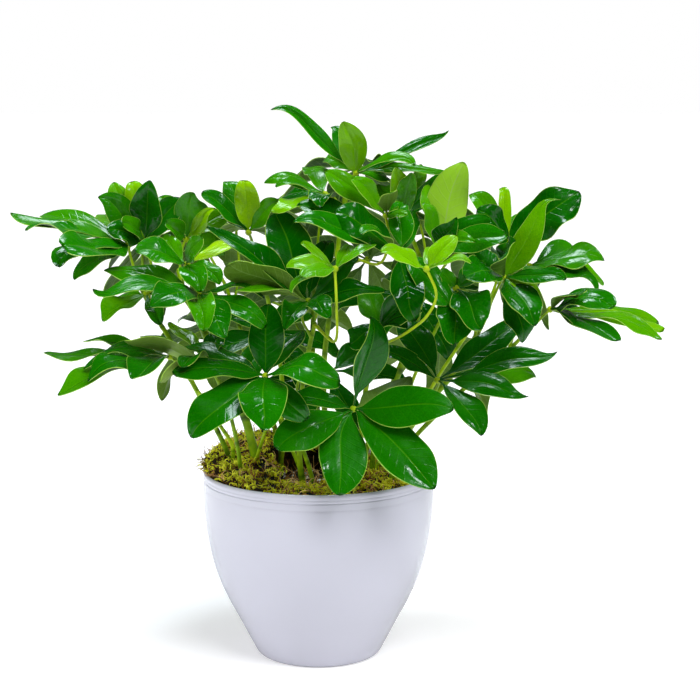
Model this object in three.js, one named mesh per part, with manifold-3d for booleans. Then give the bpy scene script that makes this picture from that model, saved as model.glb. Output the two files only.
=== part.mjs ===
// A dwarf umbrella plant in a round white pot.
// Millimetres, +Z up, origin on the pot's axis at its flat bottom.
// The pot is filled with soil, a ring of moss lies on the soil, and stems stand in holes through both.
// Each compound leaf is one piece: a stalk that starts at a stem, and leaflets that spread from its end.
import * as THREE from 'three';
import { mergeVertices } from 'three/addons/utils/BufferGeometryUtils.js';
import Module from 'manifold-3d';

const wasm = await Module();
wasm.setup();

// Clearance between touching pieces, and the extra skin that a new leaflet needs to be clear of the others
const GAP = 0.3;
const SKIN = 0.7;

// Pot: radius of its outside wall at each height, from the foot to the rim
const POT_HEIGHT = 135;
const POT_FLOOR = 5;
const POT_SIDES = 32;
const POT_OUTSIDE = [
  [41.5, 0], [44.4, 1.6], [49.2, 10], [57.4, 26], [66.3, 43], [72.8, 58.5], [77.6, 75], [81.2, 95],
  [82.8, 114], [82.8, 133.4],
];
const POT_RIM = [[81.9, POT_HEIGHT], [80.4, POT_HEIGHT], [79.6, 133.8]];
const POT_INSIDE = [[79.6, 112], [76.6, 84], [69.2, 58], [55.5, 30], [40, POT_FLOOR]];

// Soil: it reaches up the pot and is a little higher in the middle
const SOIL_RIM_HEIGHT = 122;
const SOIL_MIDDLE_HEIGHT = 128;

// Moss: a lumpy ring on the soil, thinner at its edges, and higher towards the left and the back
const MOSS_RINGS = [38, 52, 67, 79.2];
const MOSS_DEPTH = 9;
const MOSS_LUMP = 1.2;
const MOSS_HIGH_SIDE = { rise: 20, angle: 0.85 * Math.PI };
const MOSS_EDGE_FALL = 1.5;

// The moss's lumps, as waves: how many go round the ring, and the turn for each millimetre outwards
const MOSS_WAVES = [[3, 1 / 9], [7, -1 / 5], [11, 1]];

// Leaflets: at each share of the length, the share of the width and the half thickness.
// Slim ones have fewer rings.
const WIDE_PROFILE = [[0.14, 0.08, 0.8], [0.34, 0.76, 0.7], [0.62, 1, 0.7], [0.87, 0.62, 0.65]];
const SLIM_PROFILE = [[0.14, 0.11, 0.8], [0.42, 0.95, 0.7], [0.77, 0.86, 0.65]];
const SLIM_WIDTH = 22.5;
const TROUGH = 0.1;
const FLAT_ROOT_SHARE = 0.2;
const ROOT_DEPTH = 1.5;

// Leaf stalks: how far below its leaf one leaves the stem, in all and for each millimetre outwards,
// how much it follows the stem at first, and the knob at its end, with its rings' places in knob radii
const STALK_RADIUS = 1.15;
const STALK_STEPS = 4;
const STALK_SIDES = 4;
const STALK_DROP = 12;
const STALK_SLOPE = 0.6;
const STALK_RANGE = [0.35, 0.98];
const STALK_WIDEST_RANGE = [0.25, 0.99];
const STALK_RISE = 0.16;
const STALK_BENDS = [{ at: 0.3, rise: 1, bow: 1 }, { at: 0.7, rise: 0.9, bow: 0.6 }];
const KNOB_RADIUS = 2.6;
const KNOB_RINGS = [-1.6, -0.6, 0.6];

// The leaves' places are laid out on the upright plane through the pot's axis, as seen from this point
const EYE = new THREE.Vector3(22.7, -1380, 449);

// Stems: points [across, height, depth] on that plane, and the radius at the foot and at the top
const STEMS = {
  stem_left: { radii: [2, 1.5], path: [
    [-62, 110, -8], [-63, 138, -8], [-74, 166, -14], [-92, 202, -26], [-106, 230, -28],
    [-118, 250, -22], [-128, 272, -14]] },
  stem_left_thick: { radii: [3.6, 1.8], path: [
    [-44, 110, -14], [-46, 145, -14], [-56, 182, -22], [-74, 218, -30], [-86, 246, -30],
    [-95, 262, -24], [-99, 280, -12]] },
  stem_left_thin: { radii: [1.6, 1.3], path: [
    [-54, 110, -24], [-58, 150, -34], [-66, 185, -46], [-72, 200, -54]] },
  stem_crown_left: { radii: [2, 1.5], path: [
    [-27, 110, 8], [-27, 150, 10], [-26, 200, 20], [-34, 250, 22], [-42, 285, 14]] },
  stem_front: { radii: [2.2, 1.5], path: [
    [-10, 110, -26], [-14, 150, -30], [-12, 190, -32], [-6, 225, -34], [-2, 242, -38]] },
  stem_front_thin: { radii: [1.7, 1.3], path: [
    [0, 110, -36], [-8, 140, -42], [-20, 170, -56], [-30, 190, -68]] },
  stem_middle: { radii: [2.4, 1.6], path: [
    [5, 110, 6], [5, 160, 8], [4, 210, 6], [10, 260, 4], [16, 310, 6], [19, 332, 6]] },
  stem_front_right: { radii: [2.1, 1.5], path: [
    [27, 110, -28], [30, 145, -32], [32, 180, -36], [38, 210, -36], [44, 226, -36]] },
  stem_right_inner: { radii: [2.2, 1.5], path: [
    [36, 110, 4], [42, 160, 6], [56, 200, 2], [70, 240, -4], [74, 280, -4], [66, 304, 2]] },
  stem_right: { radii: [2.3, 1.7], path: [
    [50, 110, -12], [58, 150, -14], [78, 182, -18], [96, 204, -20], [109, 226, -20], [118, 243, -20],
    [124, 262, -22]] },
  stem_far_right: { radii: [1.9, 1.4], path: [
    [54, 110, 16], [64, 150, 20], [86, 176, 18], [107, 196, 14], [130, 216, 8], [150, 236, 2]] },
  stem_back_left: { radii: [2.3, 1.5], path: [
    [-22, 110, 40], [-30, 160, 52], [-50, 220, 70], [-66, 270, 84]] },
  stem_back: { radii: [2.2, 1.5], path: [
    [2, 110, 52], [0, 170, 74], [-4, 230, 96], [-2, 280, 106]] },
  stem_back_right: { radii: [2.3, 1.5], path: [
    [24, 110, 38], [38, 160, 54], [62, 220, 74], [78, 270, 84]] },
};

// Thin shoots: each leaves a stem just above the soil and is one body with it
const SHOOTS = [
  { stem: 'stem_left', radii: [1.7, 1.2], path: [
    [-62, 136, -9], [-62, 152, -18], [-72, 169, -26], [-86, 192, -32]] },
  { stem: 'stem_left_thick', radii: [1.5, 1.1], path: [
    [-46, 138, -14], [-41, 154, -24], [-37, 168, -30], [-34, 196, -36]] },
  { stem: 'stem_crown_left', radii: [1.5, 1.1], path: [
    [-27, 128, 9], [-26, 145, 3], [-20, 170, 0], [-14, 200, -4]] },
  { stem: 'stem_front', radii: [1.6, 1.1], path: [
    [-11, 128, -27], [-16, 142, -20], [-22, 156, -14], [-34, 186, -4]] },
  { stem: 'stem_right_inner', radii: [1.5, 1.2], path: [
    [38, 130, 5], [51, 154, 12], [70, 206, 14], [96, 262, 4]] },
  { stem: 'stem_right', radii: [1.6, 1.2], path: [
    [54, 131, -13], [60, 150, -5], [82, 196, 2], [116, 248, 2]] },
];

// Leaves that the front view shows, foremost first.
// hub is where the leaflets meet and faces is where they look.
// A leaflet is [tip across, tip height, tip depth, width, arch, roll about its length in degrees].
const LEAVES = [
  { name: 'leaf_front_left', stem: 'stem_front_thin', hub: [-38, 203, -78], faces: [-0.1, -0.75, 0.65],
    leaflets: [
      [-35, 255, -66, 25, 2, 0], [-104, 204, -88, 24, 6, 25], [-92, 158, -108, 33, 6, 0],
      [-40, 163, -122, 34, 6, 0], [16, 199, -110, 26, 12, -15], [-8, 171, -100, 20, 4, 20],
      [-96, 224, -52, 20, 4, 30], [-12, 236, -40, 20, 3, -20]] },
  { name: 'leaf_front', stem: 'stem_front_right', hub: [25, 179, -70], faces: [0.1, -0.75, 0.65],
    leaflets: [
      [97, 178, -92, 29, 6, 12], [84, 120, -108, 36, 5, 0], [15, 115, -110, 35, 4, 0],
      [-30, 149, -100, 28, 6, 0], [-21, 189, -62, 20, 3, 20], [37, 246, -70, 24, 3, 38],
      [66, 203, -34, 24, 4, 155]] },
  { name: 'leaf_young_middle', stem: 'stem_front', hub: [12, 280, -90], faces: [0, -0.6, 0.8],
    young: true, by: [[13, 256, -86], [12, 228, -66]],
    leaflets: [
      [-12, 299, -84, 7, 2, 0], [-23, 281, -98, 15, 4, 0], [-11, 274, -116, 13, 4, 0],
      [-19, 262, -100, 13, 5, 25], [41, 298, -80, 10, 3, -20], [24, 297, -62, 10, 2, 0]] },
  { name: 'leaf_young_right', stem: 'stem_front_right', hub: [77, 280, -102], faces: [0.1, -0.6, 0.8],
    young: true, by: [[84, 262, -100], [78, 247, -92], [64, 235, -78]],
    leaflets: [
      [44, 292, -108, 19, 3, 10], [98, 304, -96, 16, 2, 0], [109, 284, -112, 11, 4, -20],
      [84, 296, -70, 10, 2, 0]] },
  { name: 'leaf_left_elbow', stem: 'stem_left_thick', hub: [-85, 262, -52], faces: [-0.1, -0.6, 0.8],
    leaflets: [
      [-160, 266, -66, 18, 8, 6], [-152, 279, -34, 20, 4, 10], [-120, 252, -92, 26, 8, -14],
      [-65, 230, -90, 26, 7, -10], [-37, 238, -78, 18, 6, -10], [-38, 259, -54, 17, 8, -25],
      [-82, 235, -100, 18, 6, 0]] },
  { name: 'leaf_left_middle', stem: 'stem_left_thin', hub: [-79, 212, -62], faces: [-0.1, -0.5, 0.85],
    leaflets: [
      [-138, 229, -74, 20, 3, 66], [-72, 237, -48, 15, 3, 0], [-46, 205, -50, 24, 4, -85],
      [-113, 198, -90, 20, 3, 60], [-118, 252, -52, 13, 2, 20], [-97, 222, -88, 16, 6, 30],
      [-107, 246, -26, 12, 2, 30]] },
  { name: 'leaf_left_low', stem: 'stem_left', hub: [-106, 217, -44], faces: [-0.1, -0.25, 0.95],
    leaflets: [
      [-196, 220, -46, 25, 4, 8], [-187, 189, -74, 27, 6, 4], [-168, 208, -66, 23, 9, 0],
      [-165, 199, -86, 27, 7, -10], [-134, 201, -106, 24, 4, 0], [-168, 228, -6, 20, 3, 6]] },
  { name: 'leaf_left_folded', stem: 'stem_left_thick', hub: [-93, 283, -36], faces: [-0.1, -0.65, 0.75],
    leaflets: [
      [-129, 292, -52, 24, 5, 0], [-82, 303, -58, 17, 3, 35], [-88, 262, -68, 18, 4, 0],
      [-70, 262, -54, 18, 5, -10], [-60, 301, -22, 12, 1, 0], [-112, 300, -14, 14, 2, 0]] },
  { name: 'leaf_middle', stem: 'stem_front', hub: [-7, 257, -56], faces: [-0.1, -0.7, 0.7],
    leaflets: [
      [-79, 310, -46, 21, 3, 18], [-30, 320, -24, 29, 2, 0], [-66, 279, -66, 28, 3, 105],
      [-60, 258, -72, 16, 4, 40], [11, 240, -96, 19, 7, 0], [48, 264, -76, 18, 4, -10],
      [29, 288, -40, 15, 2, 30], [6, 300, -30, 18, 2, 10], [-24, 236, -84, 18, 5, 0]] },
  { name: 'leaf_top_middle', stem: 'stem_right_inner', hub: [58, 292, -54], faces: [-0.05, -0.65, 0.75],
    leaflets: [
      [-18, 313, -76, 25, 4, 10], [11, 320, -62, 29, 3, 0], [30, 304, -88, 15, 5, 10],
      [-15, 325, -36, 26, 2, 10], [70, 243, -86, 22, 4, 0], [94, 254, -78, 24, 3, 0],
      [62, 326, -34, 18, 2, 0], [67, 322, -12, 14, 2, 40]] },
  { name: 'leaf_young_top', stem: 'stem_middle', hub: [48, 318, -40], faces: [0, -0.7, 0.7],
    young: true, by: [[50, 300, -38], [44, 284, -30]],
    leaflets: [
      [24, 345, -50, 16, 2, 0], [6, 350, -40, 19, 2, 0], [52, 334, -62, 16, 2, -20],
      [57, 323, -58, 8, 1, 0], [62, 318, -54, 8, 1, 0]] },
  { name: 'leaf_right_middle', stem: 'stem_right_inner', hub: [84, 293, -38], faces: [0.05, -0.75, 0.65],
    leaflets: [
      [102, 356, -18, 30, 2, 180], [98, 317, -62, 18, 2, 20], [123, 314, -48, 24, 3, 0],
      [134, 305, -66, 20, 5, 10], [112, 299, -84, 15, 3, 10], [74, 327, -30, 13, 2, 30],
      [81, 338, -8, 15, 2, 10]] },
  { name: 'leaf_right_drooping', stem: 'stem_right', hub: [98, 266, -62], faces: [0.1, -0.75, 0.65],
    leaflets: [
      [112, 236, -94, 26, 5, 0], [100, 233, -98, 25, 4, 0], [120, 282, -60, 15, 2, 0],
      [86, 278, -66, 14, 2, 0]] },
  { name: 'leaf_right', stem: 'stem_right', hub: [132, 274, -48], faces: [0.1, -0.65, 0.75],
    leaflets: [
      [172, 329, -52, 21, 3, 0], [176, 272, -80, 15, 4, 10], [158, 261, -64, 12, 3, 10],
      [155, 239, -92, 26, 5, 0], [96, 260, -78, 24, 6, 0], [140, 300, -74, 24, 2, 30],
      [103, 291, -40, 22, 2, 0], [146, 227, -62, 22, 4, 0]] },
  { name: 'leaf_right_low', stem: 'stem_right', hub: [85, 200, -44], faces: [0.15, -0.6, 0.8],
    leaflets: [
      [171, 221, -54, 20, 3, 6], [151, 188, -70, 22, 6, 8], [117, 159, -84, 22, 6, 0],
      [150, 240, -18, 20, 3, 0], [156, 202, -12, 22, 4, -10], [61, 243, -12, 22, 3, 0],
      [46, 226, -44, 18, 3, 0]] },
  { name: 'leaf_far_right', stem: 'stem_far_right', hub: [165, 251, -18], faces: [0.15, -0.35, 0.95],
    leaflets: [
      [210, 252, -58, 25, 8, 24], [243, 240, 8, 16, 6, 8], [246, 235, -26, 17, 4, 0],
      [244, 229, -48, 14, 4, 0], [213, 228, -74, 20, 5, 0], [186, 262, -66, 16, 4, 10],
      [184, 240, -52, 9, 3, 0], [192, 244, 20, 18, 4, 0]] },
  { name: 'leaf_far_left', stem: 'stem_left', hub: [-134, 297, -14], faces: [-0.1, -0.3, 0.95],
    leaflets: [
      [-217, 320, -22, 24, 3, 0], [-195, 318, 20, 22, 5, 0], [-207, 307, -44, 23, 4, 4],
      [-181, 296, -74, 30, 3, -25], [-183, 281, -62, 22, 5, 0], [-173, 272, -38, 22, 4, 0],
      [-152, 318, 38, 20, 4, 0]] },
  { name: 'leaf_left_top', stem: 'stem_left', hub: [-122, 299, 2], faces: [-0.05, -0.85, 0.5],
    leaflets: [
      [-118, 343, -14, 22, 1, 0], [-131, 342, 14, 19, 2, 0], [-155, 331, -6, 22, 2, 0],
      [-142, 337, 28, 20, 2, 0], [-152, 306, -22, 20, 3, 0], [-98, 331, 10, 20, 2, 10],
      [-138, 312, -26, 15, 2, 0]] },
  { name: 'leaf_left_crown', stem: 'stem_left_thick', hub: [-93, 301, 4], faces: [0, -0.85, 0.5],
    leaflets: [
      [-87, 334, -2, 23, 1, 0], [-72, 323, -16, 11, 2, 10], [-110, 332, 26, 18, 2, 0],
      [-61, 323, 28, 15, 2, 0], [-108, 313, -16, 15, 2, 0], [-66, 290, 14, 17, 3, 0]] },
  { name: 'leaf_left_small', stem: 'stem_left', hub: [-122, 262, -34], faces: [-0.1, -0.55, 0.8],
    leaflets: [
      [-154, 243, -50, 20, 2, 4], [-97, 259, -6, 15, 2, 0], [-140, 262, 6, 17, 2, 0],
      [-112, 240, -56, 12, 2, 0]] },
  { name: 'leaf_crown_left', stem: 'stem_crown_left', hub: [-49, 306, 2], faces: [0, -0.85, 0.5],
    leaflets: [
      [-52, 343, -6, 18, 1, 0], [-64, 342, 18, 17, 2, 0], [-82, 334, 2, 16, 3, 20],
      [-26, 328, -6, 17, 3, -10], [-60, 322, 44, 17, 3, 0]] },
  { name: 'leaf_crown', stem: 'stem_middle', hub: [5, 333, -4], faces: [0, -0.6, 0.8],
    leaflets: [
      [-38, 341, 2, 12, 7, 0], [-34, 321, -36, 23, 3, 10], [-30, 338, -20, 15, 4, 10],
      [-30, 328, 24, 18, 6, 0], [2, 318, -44, 18, 4, 0], [-6, 352, 30, 18, 4, 0]] },
  { name: 'leaf_top', stem: 'stem_middle', hub: [27, 348, 8], faces: [0.05, -0.6, 0.8],
    leaflets: [
      [-33, 392, 0, 15, 3, 0], [18, 384, -8, 21, 1, -30], [92, 378, 12, 12, 3, 0],
      [68, 353, -16, 14, 5, 0], [92, 349, 0, 12, 6, 0], [9, 380, 28, 14, 2, 0], [4, 356, 22, 15, 3, 0],
      [52, 340, 34, 20, 4, 0]] },
  { name: 'leaf_top_right', stem: 'stem_right_inner', hub: [60, 316, 6], faces: [0.1, -0.8, 0.6],
    leaflets: [
      [54, 354, -6, 16, 1, 0], [65, 348, -14, 15, 1, 0], [74, 353, 8, 12, 1, 30],
      [88, 348, 4, 13, 2, 20], [84, 334, 20, 16, 2, 0], [44, 340, 26, 17, 3, 0]] },
  { name: 'leaf_right_top', stem: 'stem_right', hub: [135, 300, -2], faces: [0, -0.8, 0.6],
    leaflets: [
      [112, 322, -18, 25, 3, 0], [128, 337, 20, 9, 2, 0], [184, 335, 4, 30, 3, 0],
      [107, 333, 20, 17, 3, 0], [150, 318, 36, 20, 3, 0]] },
  { name: 'leaf_right_back', stem: 'stem_far_right', hub: [150, 282, 8], faces: [0.15, -0.55, 0.85],
    leaflets: [
      [183, 293, 26, 24, 3, -10], [203, 286, -2, 24, 5, -10], [198, 264, -14, 24, 5, -5],
      [203, 270, 24, 20, 5, 0], [160, 270, -22, 20, 4, 0]] },
  { name: 'leaf_middle_low', stem: 'stem_front_right', hub: [43, 238, -58], faces: [0.05, -0.7, 0.7],
    leaflets: [
      [63, 264, -62, 17, 2, 20], [74, 250, -80, 17, 3, 0], [36, 268, -42, 18, 2, 0],
      [22, 228, -66, 17, 3, 0], [58, 222, -76, 15, 3, 0]] },
];

// Leaves behind them and among the stems: a hub as [x, y, z] each, and leaflets by rule
const BACK_LEAVES = [
  { name: 'leaf_back_far_left', stem: 'stem_left', at: [-122, 52, 300], faces: [-0.6, 0.4, 0.8],
    size: 62 },
  { name: 'leaf_back_left', stem: 'stem_back_left', at: [-92, 84, 292], faces: [-0.5, 0.4, 0.85],
    size: 68 },
  { name: 'leaf_back_left_low', stem: 'stem_back_left', at: [-84, 108, 226], faces: [-0.5, 0.65, 0.7],
    size: 72 },
  { name: 'leaf_back_crown_left', stem: 'stem_back_left', at: [-64, 106, 298], faces: [-0.3, 0.45, 0.9],
    size: 68 },
  { name: 'leaf_back_crown', stem: 'stem_back', at: [2, 118, 316], faces: [0, 0.5, 0.9], size: 70 },
  { name: 'leaf_back_low', stem: 'stem_back', at: [-42, 138, 238], faces: [-0.2, 0.8, 0.65], size: 72 },
  { name: 'leaf_back_middle', stem: 'stem_back', at: [36, 144, 270], faces: [0.1, 0.8, 0.65], size: 74 },
  { name: 'leaf_back_crown_right', stem: 'stem_back_right', at: [66, 102, 318], faces: [0.3, 0.5, 0.9],
    size: 68 },
  { name: 'leaf_back_right', stem: 'stem_back_right', at: [108, 92, 284], faces: [0.5, 0.5, 0.8],
    size: 70 },
  { name: 'leaf_back_right_low', stem: 'stem_back_right', at: [98, 118, 216], faces: [0.45, 0.7, 0.65],
    size: 72 },
  { name: 'leaf_back_far_right', stem: 'stem_far_right', at: [132, 66, 280], faces: [0.6, 0.4, 0.8],
    size: 68 },
  { name: 'leaf_back_top', stem: 'stem_middle', at: [30, 52, 348], faces: [0.1, 0.35, 0.95], size: 64 },
  { name: 'leaf_inner_left', stem: 'stem_crown_left', at: [-36, 62, 226], faces: [0.15, -0.55, 0.8],
    size: 66 },
  { name: 'leaf_inner', stem: 'stem_middle', at: [8, 60, 196], faces: [0, -0.6, 0.8], size: 60 },
  { name: 'leaf_inner_right', stem: 'stem_right_inner', at: [68, 58, 256], faces: [-0.15, -0.55, 0.8],
    size: 62 },
];

// Their leaflets: how many and over what angle, their width, droop and arch, how much the fan is flattened
// and the upper ones are shorter, and how uneven their angles and lengths are
const BACK_LEAFLETS = 6;
const BACK_SPREAD = 1.75 * Math.PI;
const BACK_WIDTH_SHARE = 0.31;
const BACK_DROOP = 0.34;
const BACK_ARCH = 5;
const BACK_FLATTEN = 0.9;
const BACK_SHORTER_ABOVE = 0.12;
const BACK_UNEVEN_ANGLE = { range: 0.12, pace: 5 };
const BACK_UNEVEN_LENGTH = { range: 0.06, pace: 3 };

const COLOURS = {
  pot: new THREE.MeshStandardMaterial({ color: 0xe9e6f2, roughness: 0.25, metalness: 0 }),
  soil: new THREE.MeshStandardMaterial({ color: 0x2a1d14, roughness: 0.95, metalness: 0 }),
  moss: new THREE.MeshStandardMaterial({ color: 0x6f6a22, roughness: 0.95, metalness: 0 }),
  stem: new THREE.MeshStandardMaterial({ color: 0x6f8f2a, roughness: 0.5, metalness: 0 }),
  leaf: new THREE.MeshStandardMaterial({ color: 0x1f7a0e, roughness: 0.3, metalness: 0 }),
  young: new THREE.MeshStandardMaterial({ color: 0x6fae12, roughness: 0.35, metalness: 0 }),
};

// Geometry and solids

// A closed body through rings of equal count, each counter-clockwise seen from its end.
// Each end is flat, or a point.
function loft(rings, from, to) {
  const count = rings[0].length;
  const last = (rings.length - 1) * count;
  const vertices = rings.flat();
  const faces = [];
  for (let a = 0; a < last; a += 1) {
    const b = a - (a % count) + ((a + 1) % count);
    if ((a % count) % 2 === 0) faces.push([a, b, b + count], [a, b + count, a + count]);
    else faces.push([a, b, a + count], [b, b + count, a + count]);
  }
  for (const [point, first, turn] of [[from, 0, -1], [to, last, 1]]) {
    const hub = point ? vertices.push(point) - 1 : first;
    for (let k = point ? 0 : 1; k < (point ? count : count - 1); k += 1) {
      const pair = [first + k, first + ((k + 1) % count)];
      faces.push(turn > 0 ? [hub, ...pair] : [hub, ...pair.reverse()]);
    }
  }
  return new THREE.BufferGeometry().setFromPoints(vertices).setIndex(faces.flat());
}

function solidOf(geometry) {
  const bare = geometry.clone();
  bare.deleteAttribute('normal');
  bare.deleteAttribute('uv');
  const merged = mergeVertices(bare, 1e-4);
  const vertProperties = merged.attributes.position.array;
  const triVerts = new Uint32Array(merged.index.array);
  return new wasm.Manifold(new wasm.Mesh({ numProp: 3, vertProperties, triVerts }));
}

function geometryOf(solid) {
  const { vertProperties, triVerts } = solid.getMesh();
  const geometry = new THREE.BufferGeometry();
  geometry.setAttribute('position', new THREE.BufferAttribute(vertProperties, 3));
  return geometry.setIndex(new THREE.BufferAttribute(triVerts, 1));
}

// A round section at each point of a path, with a radius for each point
function tube(points, radii, sides, swell = 0) {
  const last = points.length - 1;
  const along = points.map((p, i) => points[Math.min(i + 1, last)].clone()
    .sub(points[Math.max(i - 1, 0)]).normalize());
  let side = new THREE.Vector3(1, 0, 0).cross(along[0]).normalize();
  const rings = points.map((p, i) => {
    side = side.clone().addScaledVector(along[i], -side.dot(along[i])).normalize();
    const up = along[i].clone().cross(side);
    const stretch = i === 0 ? -swell : i === last ? swell : 0;
    const centre = p.clone().addScaledVector(along[i], stretch);
    return Array.from({ length: sides }, (_, k) => {
      const angle = (2 * Math.PI * k) / sides;
      return centre.clone()
        .addScaledVector(side, Math.cos(angle) * (radii[i] + swell))
        .addScaledVector(up, Math.sin(angle) * (radii[i] + swell));
    });
  });
  return loft(rings);
}

// A body turned about the vertical axis from [radius, height] points
function turned(profile, sides) {
  const points = profile.map(([r, z]) => new THREE.Vector2(r, z));
  return new THREE.LatheGeometry(points, sides).rotateX(Math.PI / 2);
}

// Pot, soil and moss

function pot() {
  return turned([[0, 0], ...POT_OUTSIDE, ...POT_RIM, ...POT_INSIDE, [0, POT_FLOOR]], POT_SIDES);
}

function soilTop(radius) {
  return SOIL_MIDDLE_HEIGHT + (SOIL_RIM_HEIGHT - SOIL_MIDDLE_HEIGHT) * (radius / MOSS_RINGS.at(-1));
}

function soil() {
  const wall = POT_INSIDE.slice().reverse().map(([r, z]) => [r - GAP, z + GAP]);
  const edge = [MOSS_RINGS.at(-1), SOIL_RIM_HEIGHT];
  return turned([[0, POT_FLOOR + GAP], ...wall, edge, [0, SOIL_MIDDLE_HEIGHT]], POT_SIDES);
}

function mossHeight(angle, radius) {
  const lumps = MOSS_WAVES.map(([round, turn]) => Math.sin(round * angle + turn * radius));
  const height = MOSS_DEPTH + MOSS_LUMP * lumps.reduce((sum, lump) => sum + lump);
  const higher = MOSS_HIGH_SIDE.rise * Math.max(0, Math.cos(angle - MOSS_HIGH_SIDE.angle));
  const atEdge = radius < MOSS_RINGS[0] + 1 || radius > MOSS_RINGS.at(-1) - 1;
  return height + higher - (atEdge ? MOSS_EDGE_FALL : 0);
}

function moss() {
  const [inner, outer] = [MOSS_RINGS[0], MOSS_RINGS.at(-1)];
  const under = [[inner, soilTop(inner) + GAP], [outer, soilTop(outer) + GAP]];
  const over = MOSS_RINGS.map((r) => [r, soilTop(r) + MOSS_DEPTH]).reverse();
  const geometry = turned([...under, ...over, under[0]], POT_SIDES);
  const place = geometry.attributes.position;
  for (let i = 0; i < place.count; i += 1) {
    const [x, y, z] = [place.getX(i), place.getY(i), place.getZ(i)];
    const radius = Math.hypot(x, y);
    const onTop = z > soilTop(radius) + MOSS_DEPTH / 2;
    if (onTop) place.setZ(i, soilTop(radius) + mossHeight(Math.atan2(y, x), radius));
  }
  return geometry;
}

// Stems

// A point laid out as [across, height, depth], moved along its line of sight to that depth
function laidOut([across, height, depth]) {
  const share = (depth - EYE.y) / -EYE.y;
  return new THREE.Vector3(EYE.x + (across - EYE.x) * share, depth, EYE.z + (height - EYE.z) * share);
}

const STEM_STEPS = 6;
const STEM_SIDES = 5;
const SHOOT_STEPS = 3;
const SHOOT_SIDES = 4;

function stemCurve(name) {
  return new THREE.CatmullRomCurve3(STEMS[name].path.map(laidOut));
}

function cane({ radii: [foot, top], path }, steps, sides, swell) {
  const points = new THREE.CatmullRomCurve3(path.map(laidOut)).getPoints(steps);
  return solidOf(tube(points, points.map((_, i) => foot + ((top - foot) * i) / steps), sides, swell));
}

// A stem with its shoots
function stem(name, swell = 0) {
  const shoots = SHOOTS.filter((shoot) => shoot.stem === name)
    .map((shoot) => cane(shoot, SHOOT_STEPS, SHOOT_SIDES, swell));
  return shoots.reduce((body, shoot) => body.add(shoot), cane(STEMS[name], STEM_STEPS, STEM_SIDES, swell));
}

// Leaf stalks

// What a stalk tries until it is clear of the others: a shift of its start along the stem,
// and a bow to one side
const STALK_BOW = 7;
const STALK_TRIES = [
  [0, 0], [-0.05, 0], [0.05, 0], [0, 1], [0, -1], [-0.1, 1], [-0.1, -1], [0.1, 1], [0.1, -1],
  [-0.15, 0], [-0.15, 2], [-0.15, -2], [0, 2], [0, -2], [-0.22, 1], [-0.22, -1], [-0.3, 0],
  [-0.3, 2], [-0.3, -2],
];
const DRAWN_STALK_TRIES = [[0, 0], [-0.06, 0], [0.06, 0]];

// How far up its stem a stalk starts: the further out its leaf is, the lower
function stalkStart(curve, hub) {
  const [lowest, highest] = STALK_RANGE;
  const top = curve.getPoint(1);
  const height = hub.z - STALK_SLOPE * Math.hypot(hub.x - top.x, hub.y - top.y) - STALK_DROP;
  const share = THREE.MathUtils.inverseLerp(curve.getPoint(lowest).z, top.z, height);
  return THREE.MathUtils.lerp(lowest, highest, THREE.MathUtils.clamp(share, 0, 1));
}

function stalkPoints(leaf, [shift, bow]) {
  const curve = stemCurve(leaf.stem);
  const start = THREE.MathUtils.clamp(stalkStart(curve, leaf.hub) + shift, ...STALK_WIDEST_RANGE);
  const root = curve.getPoint(start);
  const span = leaf.hub.clone().sub(root);
  const sideways = new THREE.Vector3(-span.y, span.x, 0).normalize().multiplyScalar(bow * STALK_BOW);
  const along = curve.getTangent(start).multiplyScalar(STALK_RISE * span.length());
  const bends = STALK_BENDS.map(({ at, rise, bow: share }) => root.clone().addScaledVector(span, at)
    .addScaledVector(along, rise).addScaledVector(sideways, share));
  const drawn = leaf.by?.map(laidOut).reverse();
  const steps = STALK_STEPS + (drawn?.length ?? 0);
  return new THREE.CatmullRomCurve3([root, ...(drawn ?? bends), leaf.hub]).getPoints(steps);
}

// The stalk ends in a knob round the hub, which holds the roots of the leaflets
function stalk(points, swell = 0) {
  const hub = points.at(-1);
  const end = hub.clone().sub(points.at(-2)).normalize();
  const knob = KNOB_RINGS.map((share) => hub.clone().addScaledVector(end, share * KNOB_RADIUS));
  const path = [...points.slice(0, -1), ...knob];
  const radii = path.map((_, i) => (i < points.length ? STALK_RADIUS : KNOB_RADIUS));
  return tube(path, radii, STALK_SIDES, swell);
}

// Leaflets

// Rings of four points: left edge, ridge on top, right edge, ridge below.
// The two halves rise from the ridge.
function leaflet(base, chord, face, { width, arch }, swell = 0) {
  const along = chord.clone().normalize();
  const normal = face.clone().addScaledVector(along, -face.dot(along)).normalize();
  const side = along.clone().cross(normal);
  const spine = (t) => base.clone().addScaledVector(chord, t)
    .addScaledVector(normal, 4 * arch * t * (1 - t));
  const profile = width > SLIM_WIDTH ? WIDE_PROFILE : SLIM_PROFILE;
  const rings = profile.map(([t, share, thickness]) => {
    const way = chord.clone().addScaledVector(normal, 4 * arch * (1 - 2 * t)).normalize();
    const up = side.clone().cross(way);
    const half = (width * share) / 2;
    const lift = share < FLAT_ROOT_SHARE ? 0 : TROUGH * width * share;
    return [
      spine(t).addScaledVector(side, -half - swell).addScaledVector(up, lift),
      spine(t).addScaledVector(up, thickness + swell),
      spine(t).addScaledVector(side, half + swell).addScaledVector(up, lift),
      spine(t).addScaledVector(up, -thickness - swell),
    ];
  });
  const root = base.clone().addScaledVector(along, -ROOT_DEPTH);
  return loft(rings, root, spine(1).addScaledVector(along, swell));
}

// Small turns that a leaflet tries, in rings of growing angle, until it is clear of what is there already
const TURN_WAYS = [[1, 0], [-1, 0], [0, 1], [0, -1], [0.7, 0.7], [0.7, -0.7], [-0.7, 0.7], [-0.7, -0.7]];
const TURN_ANGLES = [7, 14, 21, 28, 36, 45];
const TURNS = [[0, 0], ...TURN_ANGLES.flatMap((angle) => TURN_WAYS.map(([a, b]) => [angle * a, angle * b]))];
const LENGTHS = [1, 0.82, 0.64];

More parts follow.
